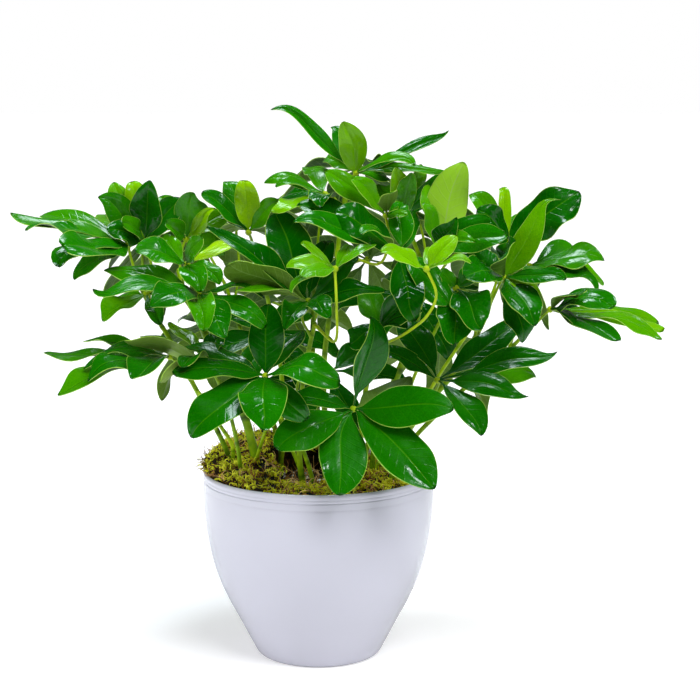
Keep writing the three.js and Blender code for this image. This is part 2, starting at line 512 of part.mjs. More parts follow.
function turnedLeaflet(leaf, piece, lift, swing, length) {
  const chord = piece.tip.clone().sub(leaf.hub);
  const along = chord.clone().normalize();
  const face = leaf.face.clone().addScaledVector(along, -leaf.face.dot(along)).normalize();
  face.applyAxisAngle(along, THREE.MathUtils.degToRad(piece.roll));
  const side = along.clone().cross(face);
  for (const vector of [chord, face]) {
    vector.applyAxisAngle(side, THREE.MathUtils.degToRad(lift));
    vector.applyAxisAngle(face.clone(), THREE.MathUtils.degToRad(swing));
  }
  return [chord.multiplyScalar(length), face];
}

// Leaflets by rule: a fan round the way the leaf faces, drooping a little, with the longest pointing down
function fan({ at, faces, size }) {
  const hub = new THREE.Vector3(...at);
  const face = new THREE.Vector3(...faces).normalize();
  const across = new THREE.Vector3(0, 0, 1).cross(face).normalize();
  const down = across.clone().cross(face);
  return Array.from({ length: BACK_LEAFLETS }, (_, k) => {
    const swing = BACK_UNEVEN_ANGLE.range * Math.sin(BACK_UNEVEN_ANGLE.pace * k + at[0]);
    const angle = ((k + 0.5) / BACK_LEAFLETS - 0.5) * BACK_SPREAD + swing;
    const longer = BACK_UNEVEN_LENGTH.range * Math.sin(BACK_UNEVEN_LENGTH.pace * k + at[2]);
    const length = size * (1 - BACK_SHORTER_ABOVE * (1 - Math.cos(angle)) + longer);
    const tip = hub.clone().addScaledVector(across, Math.sin(angle) * length)
      .addScaledVector(down, Math.cos(angle) * length * BACK_FLATTEN)
      .addScaledVector(face, -BACK_DROOP * length);
    return { tip, width: size * BACK_WIDTH_SHARE, arch: BACK_ARCH, roll: 0 };
  });
}

function allLeaves() {
  const front = LEAVES.map((leaf) => ({
    ...leaf,
    hub: laidOut(leaf.hub),
    face: new THREE.Vector3(...leaf.faces).normalize(),
    pieces: leaf.leaflets.map(([across, height, depth, width, arch, roll]) => (
      { tip: laidOut([across, height, depth]), width, arch, roll })),
  }));
  const back = BACK_LEAVES.map((leaf) => ({
    ...leaf,
    hub: new THREE.Vector3(...leaf.at),
    face: new THREE.Vector3(...leaf.faces).normalize(),
    pieces: fan(leaf),
  }));
  return [...front, ...back];
}

// What is in place so far, with its box, so that only near pieces are compared
const inPlace = [];

function keep(owner, solid) {
  inPlace.push({ owner, solid, box: solid.boundingBox() });
}

function isClear(owners, solid) {
  const box = solid.boundingBox();
  const near = inPlace.filter((other) => !owners.includes(other.owner)
    && [0, 1, 2].every((i) => box.min[i] < other.box.max[i] && other.box.min[i] < box.max[i]));
  return near.every((other) => other.solid.intersect(solid).isEmpty());
}

function growStalk(leaf) {
  const tries = leaf.by ? DRAWN_STALK_TRIES : STALK_TRIES;
  const swollen = (attempt) => solidOf(stalk(stalkPoints(leaf, attempt), SKIN));
  const free = tries.find((attempt) => isClear([leaf.stem], swollen(attempt)));
  const points = stalkPoints(leaf, free ?? [0, 0]);
  const solid = solidOf(stalk(points));
  keep(leaf.name, solid);
  return solid;
}

function growLeaflet(leaf, piece) {
  for (const length of LENGTHS) {
    for (const [lift, swing] of TURNS) {
      const [chord, face] = turnedLeaflet(leaf, piece, lift, swing, length);
      if (isClear([leaf.name], solidOf(leaflet(leaf.hub, chord, face, piece, SKIN)))) {
        const solid = solidOf(leaflet(leaf.hub, chord, face, piece));
        keep(leaf.name, solid);
        return solid;
      }
    }
  }
  return null;
}

// The part: each piece in its own mesh

const plant = new THREE.Group();

function addMesh(name, geometry, material) {
  const mesh = new THREE.Mesh(geometry, material);
  mesh.name = name;
  plant.add(mesh);
}

const wideStems = Object.keys(STEMS).map((name) => stem(name, GAP));
const potSolid = solidOf(pot());
const soilSolid = wideStems.reduce((body, wide) => body.subtract(wide), solidOf(soil()));
const mossSolid = wideStems.reduce((body, wide) => body.subtract(wide), solidOf(moss()));
addMesh('pot', geometryOf(potSolid), COLOURS.pot);
addMesh('soil', geometryOf(soilSolid), COLOURS.soil);
addMesh('moss', geometryOf(mossSolid), COLOURS.moss);
keep('pot', potSolid);
keep('soil', soilSolid);
keep('moss', mossSolid);

for (const name of Object.keys(STEMS)) {
  const solid = stem(name);
  keep(name, solid);
  addMesh(name, geometryOf(solid), COLOURS.stem);
}

const leaves = allLeaves();
const stalks = leaves.map(growStalk);
leaves.forEach((leaf, i) => {
  const grown = leaf.pieces.map((piece) => growLeaflet(leaf, piece)).filter(Boolean);
  const fused = grown.reduce((body, solid) => body.add(solid), stalks[i]);
  const bodies = fused.subtract(stem(leaf.stem, GAP)).decompose();
  const largest = bodies.reduce((a, b) => (a.volume() > b.volume() ? a : b));
  addMesh(leaf.name, geometryOf(largest), leaf.young ? COLOURS.young : COLOURS.leaf);
});

export default plant;
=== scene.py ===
# A dwarf umbrella plant in a round white pot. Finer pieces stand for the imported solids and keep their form.
import math
import random

import bpy
import numpy as np
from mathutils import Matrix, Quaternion, Vector, kdtree, noise


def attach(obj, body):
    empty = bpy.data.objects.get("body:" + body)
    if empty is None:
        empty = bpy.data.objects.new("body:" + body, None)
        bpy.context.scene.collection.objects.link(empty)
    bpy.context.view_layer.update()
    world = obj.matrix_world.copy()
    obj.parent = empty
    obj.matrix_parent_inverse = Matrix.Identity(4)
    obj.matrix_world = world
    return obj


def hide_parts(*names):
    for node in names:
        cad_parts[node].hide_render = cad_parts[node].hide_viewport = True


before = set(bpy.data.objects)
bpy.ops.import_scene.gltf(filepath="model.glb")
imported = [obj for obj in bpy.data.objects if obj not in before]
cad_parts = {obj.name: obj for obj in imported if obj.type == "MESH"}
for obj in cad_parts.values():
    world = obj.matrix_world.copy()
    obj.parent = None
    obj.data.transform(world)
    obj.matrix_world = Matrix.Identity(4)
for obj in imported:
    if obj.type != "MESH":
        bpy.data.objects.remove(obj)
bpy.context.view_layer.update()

# Sizes are millimetres in the frame of the solids, apart from the lights' and the floor's, which are metres.
# Meshes are made in metres.
MM = 0.001

# Camera: where it stands, how far it looks down, and its lens
EYE = Vector((22.7, -1380, 449))
LOOKS_DOWN = math.radians(9.35)
LENS_MM = 100.8

# Light: how bright the studio's walls are for matt and for glossy surfaces, how much more the wall behind the
# plant shows in the gloss, and how much the floor glows, by itself and onto matt and glossy surfaces
WALLS_LIGHT = 0.18
WALLS_GLOSS = 0.0
BACK_WALL_GLOSS = 0.2
FLOOR_GLOW = 0.4
FLOOR_GLOW_ON_MATT = 0.1
FLOOR_GLOW_IN_GLOSS = 0.04

# How far the floor reaches, what the lights aim at, and where the wall behind the plant fades in
FLOOR_REACH = 9
LIGHTS_AIM = (0, 0, 0.2)
BACK_WALL_EDGE = (0.75, 0.97)

# Pot: radius of its outside wall at each height, its rim, its inside, and the two fine grooves below the rim
POT_OUTSIDE = [
    (41.5, 0), (44.4, 1.6), (49.2, 10), (57.4, 26), (66.3, 43), (72.8, 58.5), (77.6, 75), (81.2, 95),
    (82.8, 114), (82.8, 133.2)]
POT_RIM = [(82.5, 134.3), (81.7, 135), (80.6, 135), (79.9, 134.4), (79.6, 133.2)]
POT_INSIDE = [(79.6, 112), (76.6, 84), (69.2, 58), (55.5, 30), (40, 5)]
POT_FLOOR = 5
POT_GROOVES = [(129, 0.4, 0.45), (131.4, 0.16, 0.35)]
GROOVES_FROM = 124
GROOVE_ROWS = 48
POT_SEGMENTS = 160

# Soil and moss, as in the solids
SOIL_RIM_HEIGHT = 122
SOIL_MIDDLE_HEIGHT = 128
SOIL_RADIUS = 79.2
MOSS_INNER = 38
MOSS_DEPTH = 9
MOSS_LUMP = 1.2
MOSS_HIGH_SIDE = 0.85 * math.pi
MOSS_HIGH_RISE = 20
MOSS_WAVES = [(3, 1 / 9), (7, -1 / 5), (11, 1)]
RIM_HEIGHT = 135

# The gap round the soil, and the rough surface of soil and moss: how wide and how deep its dents are, and
# how far the moss body sinks for them, in all and at its edges
SOIL_GAP = 0.3
SOIL_DENTS = (5, 2.4)
MOSS_DENTS = (7, 3.4)
MOSS_SINK = 2.6
MOSS_EDGE_FALL = 2.5

# Moss threads: their form, how many make a tuft and how far they spread in it, as shares of the way round
# and outwards, how deep their roots lie, and how they leave the moss's outer side
THREAD_STEPS = 4
THREAD_SIDES = 3
THREAD_TAPER = 0.7
TUFT = 4
TUFT_SPREAD = (0.0018, 0.025)
THREADS_SINK = 3.4
THREADS_LAYER = 2.5
THREADS_INSIDE = 3
THREADS_FROM_WALL = 1.5
OUTER_TUFTS = 0.3
OUTER_RANGE = (0.9, 1)
FLANK = 5
FLANK_OUTWARDS = 0.6

# How far the threads stay from the pot's wall, and up to what height above the rim
WALL_MARGIN = 0.3
RIM_MARGIN = 0.5

# Bits on the soil: how far their corners lie out before they are scaled, how far they are stretched and
# dented, and how high they sit, as a share of their size
CHIP_CORNERS_OUT = 1.9
CHIP_STRETCH = (0.6, 1.4)
CHIP_DENTS = (0.75, 1.1)
CHIP_LIFT = 0.3

# Stems: points (across, height, depth) on the upright plane through the pot's axis, and foot and top radius
STEMS = {
    "stem_left": dict(radii=(2, 1.5), path=[
        (-62, 110, -8), (-63, 138, -8), (-74, 166, -14), (-92, 202, -26), (-106, 230, -28),
        (-118, 250, -22), (-128, 272, -14)]),
    "stem_left_thick": dict(radii=(3.6, 1.8), path=[
        (-44, 110, -14), (-46, 145, -14), (-56, 182, -22), (-74, 218, -30), (-86, 246, -30),
        (-95, 262, -24), (-99, 280, -12)]),
    "stem_left_thin": dict(radii=(1.6, 1.3), path=[
        (-54, 110, -24), (-58, 150, -34), (-66, 185, -46), (-72, 200, -54)]),
    "stem_crown_left": dict(radii=(2, 1.5), path=[
        (-27, 110, 8), (-27, 150, 10), (-26, 200, 20), (-34, 250, 22), (-42, 285, 14)]),
    "stem_front": dict(radii=(2.2, 1.5), path=[
        (-10, 110, -26), (-14, 150, -30), (-12, 190, -32), (-6, 225, -34), (-2, 242, -38)]),
    "stem_front_thin": dict(radii=(1.7, 1.3), path=[
        (0, 110, -36), (-8, 140, -42), (-20, 170, -56), (-30, 190, -68)]),
    "stem_middle": dict(radii=(2.4, 1.6), path=[
        (5, 110, 6), (5, 160, 8), (4, 210, 6), (10, 260, 4), (16, 310, 6), (19, 332, 6)]),
    "stem_front_right": dict(radii=(2.1, 1.5), path=[
        (27, 110, -28), (30, 145, -32), (32, 180, -36), (38, 210, -36), (44, 226, -36)]),
    "stem_right_inner": dict(radii=(2.2, 1.5), path=[
        (36, 110, 4), (42, 160, 6), (56, 200, 2), (70, 240, -4), (74, 280, -4), (66, 304, 2)]),
    "stem_right": dict(radii=(2.3, 1.7), path=[
        (50, 110, -12), (58, 150, -14), (78, 182, -18), (96, 204, -20), (109, 226, -20),
        (118, 243, -20), (124, 262, -22)]),
    "stem_far_right": dict(radii=(1.9, 1.4), path=[
        (54, 110, 16), (64, 150, 20), (86, 176, 18), (107, 196, 14), (130, 216, 8), (150, 236, 2)]),
    "stem_back_left": dict(radii=(2.3, 1.5), path=[
        (-22, 110, 40), (-30, 160, 52), (-50, 220, 70), (-66, 270, 84)]),
    "stem_back": dict(radii=(2.2, 1.5), path=[
        (2, 110, 52), (0, 170, 74), (-4, 230, 96), (-2, 280, 106)]),
    "stem_back_right": dict(radii=(2.3, 1.5), path=[
        (24, 110, 38), (38, 160, 54), (62, 220, 74), (78, 270, 84)]),
}

# A stem's form, and the spacing of its joints, which are wider, darker rings
CANE_STEPS = 64
CANE_SIDES = 14
JOINT_SPACING = 16
JOINT_SPACING_OUTWARDS = 0.05
JOINT_SHARPNESS = 12
JOINT_WIDER = 0.1
JOINT_DARKER = 0.35
CANE_FOOT = dict(wider=0.35, up_to=0.15)
CANE_TOP = 0.6

# Thin shoots that leave a stem just above the soil
SHOOTS = [
    dict(stem="stem_left", radii=(1.7, 1.2), path=[
        (-62, 136, -9), (-62, 152, -18), (-72, 169, -26), (-86, 192, -32)]),
    dict(stem="stem_left_thick", radii=(1.5, 1.1), path=[
        (-46, 138, -14), (-41, 154, -24), (-37, 168, -30), (-34, 196, -36)]),
    dict(stem="stem_crown_left", radii=(1.5, 1.1), path=[
        (-27, 128, 9), (-26, 145, 3), (-20, 170, 0), (-14, 200, -4)]),
    dict(stem="stem_front", radii=(1.6, 1.1), path=[
        (-11, 128, -27), (-16, 142, -20), (-22, 156, -14), (-34, 186, -4)]),
    dict(stem="stem_right_inner", radii=(1.5, 1.2), path=[
        (38, 130, 5), (51, 154, 12), (70, 206, 14), (96, 262, 4)]),
    dict(stem="stem_right", radii=(1.6, 1.2), path=[
        (54, 131, -13), (60, 150, -5), (82, 196, 2), (116, 248, 2)]),
]

LEAVES = [
    dict(name="leaf_front_left", stem="stem_front_thin", hub=(-38, 203, -78), faces=(-0.1, -0.75, 0.65),
         leaflets=[
             (-35, 255, -66, 25, 2, 0), (-104, 204, -88, 24, 6, 25), (-92, 158, -108, 33, 6, 0),
             (-40, 163, -122, 34, 6, 0), (16, 199, -110, 26, 12, -15), (-8, 171, -100, 20, 4, 20),
             (-96, 224, -52, 20, 4, 30), (-12, 236, -40, 20, 3, -20)]),
    dict(name="leaf_front", stem="stem_front_right", hub=(25, 179, -70), faces=(0.1, -0.75, 0.65),
         leaflets=[
             (97, 178, -92, 29, 6, 12), (84, 120, -108, 36, 5, 0), (15, 115, -110, 35, 4, 0),
             (-30, 149, -100, 28, 6, 0), (-21, 189, -62, 20, 3, 20), (37, 246, -70, 24, 3, 38),
             (66, 203, -34, 24, 4, 155)]),
    dict(name="leaf_young_middle", stem="stem_front", hub=(12, 280, -90), faces=(0, -0.6, 0.8),
         young=True, by=[(13, 256, -86), (12, 228, -66)],
         leaflets=[
             (-12, 299, -84, 7, 2, 0), (-23, 281, -98, 15, 4, 0), (-11, 274, -116, 13, 4, 0),
             (-19, 262, -100, 13, 5, 25), (41, 298, -80, 10, 3, -20), (24, 297, -62, 10, 2, 0)]),
    dict(name="leaf_young_right", stem="stem_front_right", hub=(77, 280, -102), faces=(0.1, -0.6, 0.8),
         young=True, by=[(84, 262, -100), (78, 247, -92), (64, 235, -78)],
         leaflets=[
             (44, 292, -108, 19, 3, 10), (98, 304, -96, 16, 2, 0), (109, 284, -112, 11, 4, -20),
             (84, 296, -70, 10, 2, 0)]),
    dict(name="leaf_left_elbow", stem="stem_left_thick", hub=(-85, 262, -52), faces=(-0.1, -0.6, 0.8),
         leaflets=[
             (-160, 266, -66, 18, 8, 6), (-152, 279, -34, 20, 4, 10), (-120, 252, -92, 26, 8, -14),
             (-65, 230, -90, 26, 7, -10), (-37, 238, -78, 18, 6, -10), (-38, 259, -54, 17, 8, -25),
             (-82, 235, -100, 18, 6, 0)]),
    dict(name="leaf_left_middle", stem="stem_left_thin", hub=(-79, 212, -62), faces=(-0.1, -0.5, 0.85),
         leaflets=[
             (-138, 229, -74, 20, 3, 66), (-72, 237, -48, 15, 3, 0), (-46, 205, -50, 24, 4, -85),
             (-113, 198, -90, 20, 3, 60), (-118, 252, -52, 13, 2, 20), (-97, 222, -88, 16, 6, 30),
             (-107, 246, -26, 12, 2, 30)]),
    dict(name="leaf_left_low", stem="stem_left", hub=(-106, 217, -44), faces=(-0.1, -0.25, 0.95),
         leaflets=[
             (-196, 220, -46, 25, 4, 8), (-187, 189, -74, 27, 6, 4), (-168, 208, -66, 23, 9, 0),
             (-165, 199, -86, 27, 7, -10), (-134, 201, -106, 24, 4, 0), (-168, 228, -6, 20, 3, 6)]),
    dict(name="leaf_left_folded", stem="stem_left_thick", hub=(-93, 283, -36), faces=(-0.1, -0.65, 0.75),
         leaflets=[
             (-129, 292, -52, 24, 5, 0), (-82, 303, -58, 17, 3, 35), (-88, 262, -68, 18, 4, 0),
             (-70, 262, -54, 18, 5, -10), (-60, 301, -22, 12, 1, 0), (-112, 300, -14, 14, 2, 0)]),
    dict(name="leaf_middle", stem="stem_front", hub=(-7, 257, -56), faces=(-0.1, -0.7, 0.7),
         leaflets=[
             (-79, 310, -46, 21, 3, 18), (-30, 320, -24, 29, 2, 0), (-66, 279, -66, 28, 3, 105),
             (-60, 258, -72, 16, 4, 40), (11, 240, -96, 19, 7, 0), (48, 264, -76, 18, 4, -10),
             (29, 288, -40, 15, 2, 30), (6, 300, -30, 18, 2, 10), (-24, 236, -84, 18, 5, 0)]),
    dict(name="leaf_top_middle", stem="stem_right_inner", hub=(58, 292, -54), faces=(-0.05, -0.65, 0.75),
         leaflets=[
             (-18, 313, -76, 25, 4, 10), (11, 320, -62, 29, 3, 0), (30, 304, -88, 15, 5, 10),
             (-15, 325, -36, 26, 2, 10), (70, 243, -86, 22, 4, 0), (94, 254, -78, 24, 3, 0),
             (62, 326, -34, 18, 2, 0), (67, 322, -12, 14, 2, 40)]),
    dict(name="leaf_young_top", stem="stem_middle", hub=(48, 318, -40), faces=(0, -0.7, 0.7),
         young=True, by=[(50, 300, -38), (44, 284, -30)],
         leaflets=[
             (24, 345, -50, 16, 2, 0), (6, 350, -40, 19, 2, 0), (52, 334, -62, 16, 2, -20),
             (57, 323, -58, 8, 1, 0), (62, 318, -54, 8, 1, 0)]),
    dict(name="leaf_right_middle", stem="stem_right_inner", hub=(84, 293, -38), faces=(0.05, -0.75, 0.65),
         leaflets=[
             (102, 356, -18, 30, 2, 180), (98, 317, -62, 18, 2, 20), (123, 314, -48, 24, 3, 0),
             (134, 305, -66, 20, 5, 10), (112, 299, -84, 15, 3, 10), (74, 327, -30, 13, 2, 30),
             (81, 338, -8, 15, 2, 10)]),
    dict(name="leaf_right_drooping", stem="stem_right", hub=(98, 266, -62), faces=(0.1, -0.75, 0.65),
         leaflets=[
             (112, 236, -94, 26, 5, 0), (100, 233, -98, 25, 4, 0), (120, 282, -60, 15, 2, 0),
             (86, 278, -66, 14, 2, 0)]),
    dict(name="leaf_right", stem="stem_right", hub=(132, 274, -48), faces=(0.1, -0.65, 0.75),
         leaflets=[
             (172, 329, -52, 21, 3, 0), (176, 272, -80, 15, 4, 10), (158, 261, -64, 12, 3, 10),
             (155, 239, -92, 26, 5, 0), (96, 260, -78, 24, 6, 0), (140, 300, -74, 24, 2, 30),
             (103, 291, -40, 22, 2, 0), (146, 227, -62, 22, 4, 0)]),
    dict(name="leaf_right_low", stem="stem_right", hub=(85, 200, -44), faces=(0.15, -0.6, 0.8),
         leaflets=[
             (171, 221, -54, 20, 3, 6), (151, 188, -70, 22, 6, 8), (117, 159, -84, 22, 6, 0),
             (150, 240, -18, 20, 3, 0), (156, 202, -12, 22, 4, -10), (61, 243, -12, 22, 3, 0),
             (46, 226, -44, 18, 3, 0)]),
    dict(name="leaf_far_right", stem="stem_far_right", hub=(165, 251, -18), faces=(0.15, -0.35, 0.95),
         leaflets=[
             (210, 252, -58, 25, 8, 24), (243, 240, 8, 16, 6, 8), (246, 235, -26, 17, 4, 0),
             (244, 229, -48, 14, 4, 0), (213, 228, -74, 20, 5, 0), (186, 262, -66, 16, 4, 10),
             (184, 240, -52, 9, 3, 0), (192, 244, 20, 18, 4, 0)]),
    dict(name="leaf_far_left", stem="stem_left", hub=(-134, 297, -14), faces=(-0.1, -0.3, 0.95),
         leaflets=[
             (-217, 320, -22, 24, 3, 0), (-195, 318, 20, 22, 5, 0), (-207, 307, -44, 23, 4, 4),
             (-181, 296, -74, 30, 3, -25), (-183, 281, -62, 22, 5, 0), (-173, 272, -38, 22, 4, 0),
             (-152, 318, 38, 20, 4, 0)]),
    dict(name="leaf_left_top", stem="stem_left", hub=(-122, 299, 2), faces=(-0.05, -0.85, 0.5),
         leaflets=[
             (-118, 343, -14, 22, 1, 0), (-131, 342, 14, 19, 2, 0), (-155, 331, -6, 22, 2, 0),
             (-142, 337, 28, 20, 2, 0), (-152, 306, -22, 20, 3, 0), (-98, 331, 10, 20, 2, 10),
             (-138, 312, -26, 15, 2, 0)]),
    dict(name="leaf_left_crown", stem="stem_left_thick", hub=(-93, 301, 4), faces=(0, -0.85, 0.5),
         leaflets=[
             (-87, 334, -2, 23, 1, 0), (-72, 323, -16, 11, 2, 10), (-110, 332, 26, 18, 2, 0),
             (-61, 323, 28, 15, 2, 0), (-108, 313, -16, 15, 2, 0), (-66, 290, 14, 17, 3, 0)]),
    dict(name="leaf_left_small", stem="stem_left", hub=(-122, 262, -34), faces=(-0.1, -0.55, 0.8),
         leaflets=[
             (-154, 243, -50, 20, 2, 4), (-97, 259, -6, 15, 2, 0), (-140, 262, 6, 17, 2, 0),
             (-112, 240, -56, 12, 2, 0)]),
    dict(name="leaf_crown_left", stem="stem_crown_left", hub=(-49, 306, 2), faces=(0, -0.85, 0.5),
         leaflets=[
             (-52, 343, -6, 18, 1, 0), (-64, 342, 18, 17, 2, 0), (-82, 334, 2, 16, 3, 20),
             (-26, 328, -6, 17, 3, -10), (-60, 322, 44, 17, 3, 0)]),
    dict(name="leaf_crown", stem="stem_middle", hub=(5, 333, -4), faces=(0, -0.6, 0.8),
         leaflets=[
             (-38, 341, 2, 12, 7, 0), (-34, 321, -36, 23, 3, 10), (-30, 338, -20, 15, 4, 10),
             (-30, 328, 24, 18, 6, 0), (2, 318, -44, 18, 4, 0), (-6, 352, 30, 18, 4, 0)]),
    dict(name="leaf_top", stem="stem_middle", hub=(27, 348, 8), faces=(0.05, -0.6, 0.8),
         leaflets=[
             (-33, 392, 0, 15, 3, 0), (18, 384, -8, 21, 1, -30), (92, 378, 12, 12, 3, 0),
             (68, 353, -16, 14, 5, 0), (92, 349, 0, 12, 6, 0), (9, 380, 28, 14, 2, 0),
             (4, 356, 22, 15, 3, 0), (52, 340, 34, 20, 4, 0)]),
    dict(name="leaf_top_right", stem="stem_right_inner", hub=(60, 316, 6), faces=(0.1, -0.8, 0.6),
         leaflets=[
             (54, 354, -6, 16, 1, 0), (65, 348, -14, 15, 1, 0), (74, 353, 8, 12, 1, 30),
             (88, 348, 4, 13, 2, 20), (84, 334, 20, 16, 2, 0), (44, 340, 26, 17, 3, 0)]),
    dict(name="leaf_right_top", stem="stem_right", hub=(135, 300, -2), faces=(0, -0.8, 0.6),
         leaflets=[
             (112, 322, -18, 25, 3, 0), (128, 337, 20, 9, 2, 0), (184, 335, 4, 30, 3, 0),
             (107, 333, 20, 17, 3, 0), (150, 318, 36, 20, 3, 0)]),
    dict(name="leaf_right_back", stem="stem_far_right", hub=(150, 282, 8), faces=(0.15, -0.55, 0.85),
         leaflets=[
             (183, 293, 26, 24, 3, -10), (203, 286, -2, 24, 5, -10), (198, 264, -14, 24, 5, -5),
             (203, 270, 24, 20, 5, 0), (160, 270, -22, 20, 4, 0)]),
    dict(name="leaf_middle_low", stem="stem_front_right", hub=(43, 238, -58), faces=(0.05, -0.7, 0.7),
         leaflets=[
             (63, 264, -62, 17, 2, 20), (74, 250, -80, 17, 3, 0), (36, 268, -42, 18, 2, 0),
             (22, 228, -66, 17, 3, 0), (58, 222, -76, 15, 3, 0)]),
]

BACK_LEAVES = [
    dict(name="leaf_back_far_left", stem="stem_left", at=(-122, 52, 300), faces=(-0.6, 0.4, 0.8), size=62),
    dict(name="leaf_back_left", stem="stem_back_left", at=(-92, 84, 292), faces=(-0.5, 0.4, 0.85), size=68),
    dict(name="leaf_back_left_low", stem="stem_back_left", at=(-84, 108, 226), faces=(-0.5, 0.65, 0.7),
         size=72),
    dict(name="leaf_back_crown_left", stem="stem_back_left", at=(-64, 106, 298), faces=(-0.3, 0.45, 0.9),
         size=68),
    dict(name="leaf_back_crown", stem="stem_back", at=(2, 118, 316), faces=(0, 0.5, 0.9), size=70),
    dict(name="leaf_back_low", stem="stem_back", at=(-42, 138, 238), faces=(-0.2, 0.8, 0.65), size=72),
    dict(name="leaf_back_middle", stem="stem_back", at=(36, 144, 270), faces=(0.1, 0.8, 0.65), size=74),
    dict(name="leaf_back_crown_right", stem="stem_back_right", at=(66, 102, 318), faces=(0.3, 0.5, 0.9),
         size=68),
    dict(name="leaf_back_right", stem="stem_back_right", at=(108, 92, 284), faces=(0.5, 0.5, 0.8), size=70),
    dict(name="leaf_back_right_low", stem="stem_back_right", at=(98, 118, 216), faces=(0.45, 0.7, 0.65),
         size=72),
    dict(name="leaf_back_far_right", stem="stem_far_right", at=(132, 66, 280), faces=(0.6, 0.4, 0.8),
         size=68),
    dict(name="leaf_back_top", stem="stem_middle", at=(30, 52, 348), faces=(0.1, 0.35, 0.95), size=64),
    dict(name="leaf_inner_left", stem="stem_crown_left", at=(-36, 62, 226), faces=(0.15, -0.55, 0.8),
         size=66),
    dict(name="leaf_inner", stem="stem_middle", at=(8, 60, 196), faces=(0, -0.6, 0.8), size=60),
    dict(name="leaf_inner_right", stem="stem_right_inner", at=(68, 58, 256), faces=(-0.15, -0.55, 0.8),
         size=62),
]

# How young and bright some leaflets are, by their place in the leaf's list. Bright tones here are partly
# painted backlight, light shining through thin leaflets.
TONES = {
    "leaf_front": {0: 0.16, 1: 0.16, 2: 0.14, 3: 0.16, 4: 0.1, 5: 0.1, 6: 0.3},
    "leaf_front_left": {0: 0.04, 1: 0.1, 2: 0.12, 3: 0.16, 4: 0.16, 5: 0.12, 6: 0.16, 7: 0.1},
    "leaf_young_middle": {0: 0.6, 1: 0.6, 2: 0.5, 3: 0.42, 4: 0.5, 5: 0.5},
    "leaf_young_top": {0: 0.5, 1: 0.46, 2: 0.42, 3: 0.45, 4: 0.45},
    "leaf_left_elbow": {0: 0.2, 1: 0.3, 2: 0.12, 3: 0.12, 6: 0.35},
    "leaf_left_middle": {0: 0.75, 1: 0.05, 3: 0.6, 4: 0.5, 6: 0.75},
    "leaf_left_low": {0: 0.3, 1: 0.4, 2: 0.12, 3: 0.12, 4: 0.08, 5: 0.3},
    "leaf_left_folded": {1: 0.35, 4: 0.9, 5: 0.4},
    "leaf_middle": {0: 0.02, 1: 0.0, 2: 0.3, 3: 0.45, 4: 0.08, 5: 0.0, 6: 0.1, 7: 0.0, 8: 0.1},
    # The first leaflet here is painted backlight: pale because light shines through it
    "leaf_right_middle": {0: 1.0, 1: 0.05, 2: 0.12, 3: 0.2, 4: 0.35, 5: 0.4, 6: 0.5},
    "leaf_right_drooping": {0: 0.08, 1: 0.12},
    "leaf_right": {0: 0.56, 1: 0.1, 2: 0.7, 3: 0.1, 4: 0.1, 5: 0.12, 6: 0.05, 7: 0.04},
    "leaf_right_low": {0: 0.08, 1: 0.08, 2: 0.1, 3: 0.0, 4: 0.4, 5: 0.02, 6: 0.05},
    "leaf_far_right": {1: 0.5, 2: 0.65, 3: 0.5},
    "leaf_far_left": {3: 0.2, 6: 0.5},
    "leaf_left_top": {0: 0.1, 1: 0.75, 3: 0.5, 6: 0.3},
    "leaf_left_crown": {1: 0.8, 3: 0.5},
    "leaf_left_small": {0: 0.5, 2: 0.4},
    "leaf_crown_left": {0: 0.85, 3: 0.4},
    "leaf_crown": {0: 0.3, 1: 0.7, 2: 0.3, 3: 0.1, 4: 0.1},
    "leaf_top": {0: 0.2, 1: 0.72, 3: 0.35, 7: 0.3},
    "leaf_top_right": {0: 0.7, 1: 0.4, 2: 0.5},
    "leaf_right_top": {0: 0.05, 1: 0.8, 2: 0.04},
    "leaf_right_back": {0: 0.25, 1: 0.3, 2: 0.2, 3: 0.5},
    "leaf_middle_low": {0: 0.1, 1: 0.08, 2: 0.3, 3: 0.05, 4: 0.1},
    "leaf_inner_left": {0: 0.05, 1: 0.0, 2: 0.1, 3: 0.0, 4: 0.05, 5: 0.1},
    "leaf_inner": {0: 0.05, 1: 0.0, 2: 0.1, 3: 0.0, 4: 0.05, 5: 0.1},
    "leaf_inner_right": {0: 0.05, 1: 0.0, 2: 0.1, 3: 0.0, 4: 0.05, 5: 0.1},
}
YOUNG_TONE = 0.64
OLD_TONES = (0.06, 0.28)
TONE_SPREAD = (-0.1, 0.2)

# What the solids tried to keep the leaflets and stalks apart: turns in degrees, lengths, shifts and bows
TURN_WAYS = [(1, 0), (-1, 0), (0, 1), (0, -1), (0.7, 0.7), (0.7, -0.7), (-0.7, 0.7), (-0.7, -0.7)]
TURNS = [(0, 0)] + [(angle * a, angle * b) for angle in (7, 14, 21, 28, 36, 45) for a, b in TURN_WAYS]
LENGTHS = (1, 0.82, 0.64)
STALK_TRIES = [
    (0, 0), (-0.05, 0), (0.05, 0), (-0.06, 0), (0.06, 0), (0, 1), (0, -1), (-0.1, 1), (-0.1, -1),
    (0.1, 1), (0.1, -1), (-0.15, 0), (-0.15, 2), (-0.15, -2), (0, 2), (0, -2), (-0.22, 1), (-0.22, -1),
    (-0.3, 0), (-0.3, 2), (-0.3, -2)]
STALK_RADIUS = 1.15
STALK_BOW = 7
STALK_DROP = 12
STALK_SLOPE = 0.6
STALK_RANGE = (0.35, 0.98)
STALK_WIDEST_RANGE = (0.25, 0.99)
STALK_RISE = 0.16
KNOB_RADIUS = 2.4
STALK_STEPS = 20
STALK_SIDES = 8

# How close a corner of the solid has to be to count as the one that is looked for
MATCH = 0.02

# Leaflets by rule, of the leaves at the back and among the stems
BACK_LEAFLETS = 6
BACK_SPREAD = 1.75 * math.pi
BACK_WIDTH_SHARE = 0.31
BACK_DROOP = 0.34
BACK_ARCH = 5
BACK_FLATTEN = 0.9
BACK_SHORTER_ABOVE = 0.12
BACK_UNEVEN_ANGLE = dict(range=0.12, pace=5)
BACK_UNEVEN_LENGTH = dict(range=0.06, pace=3)

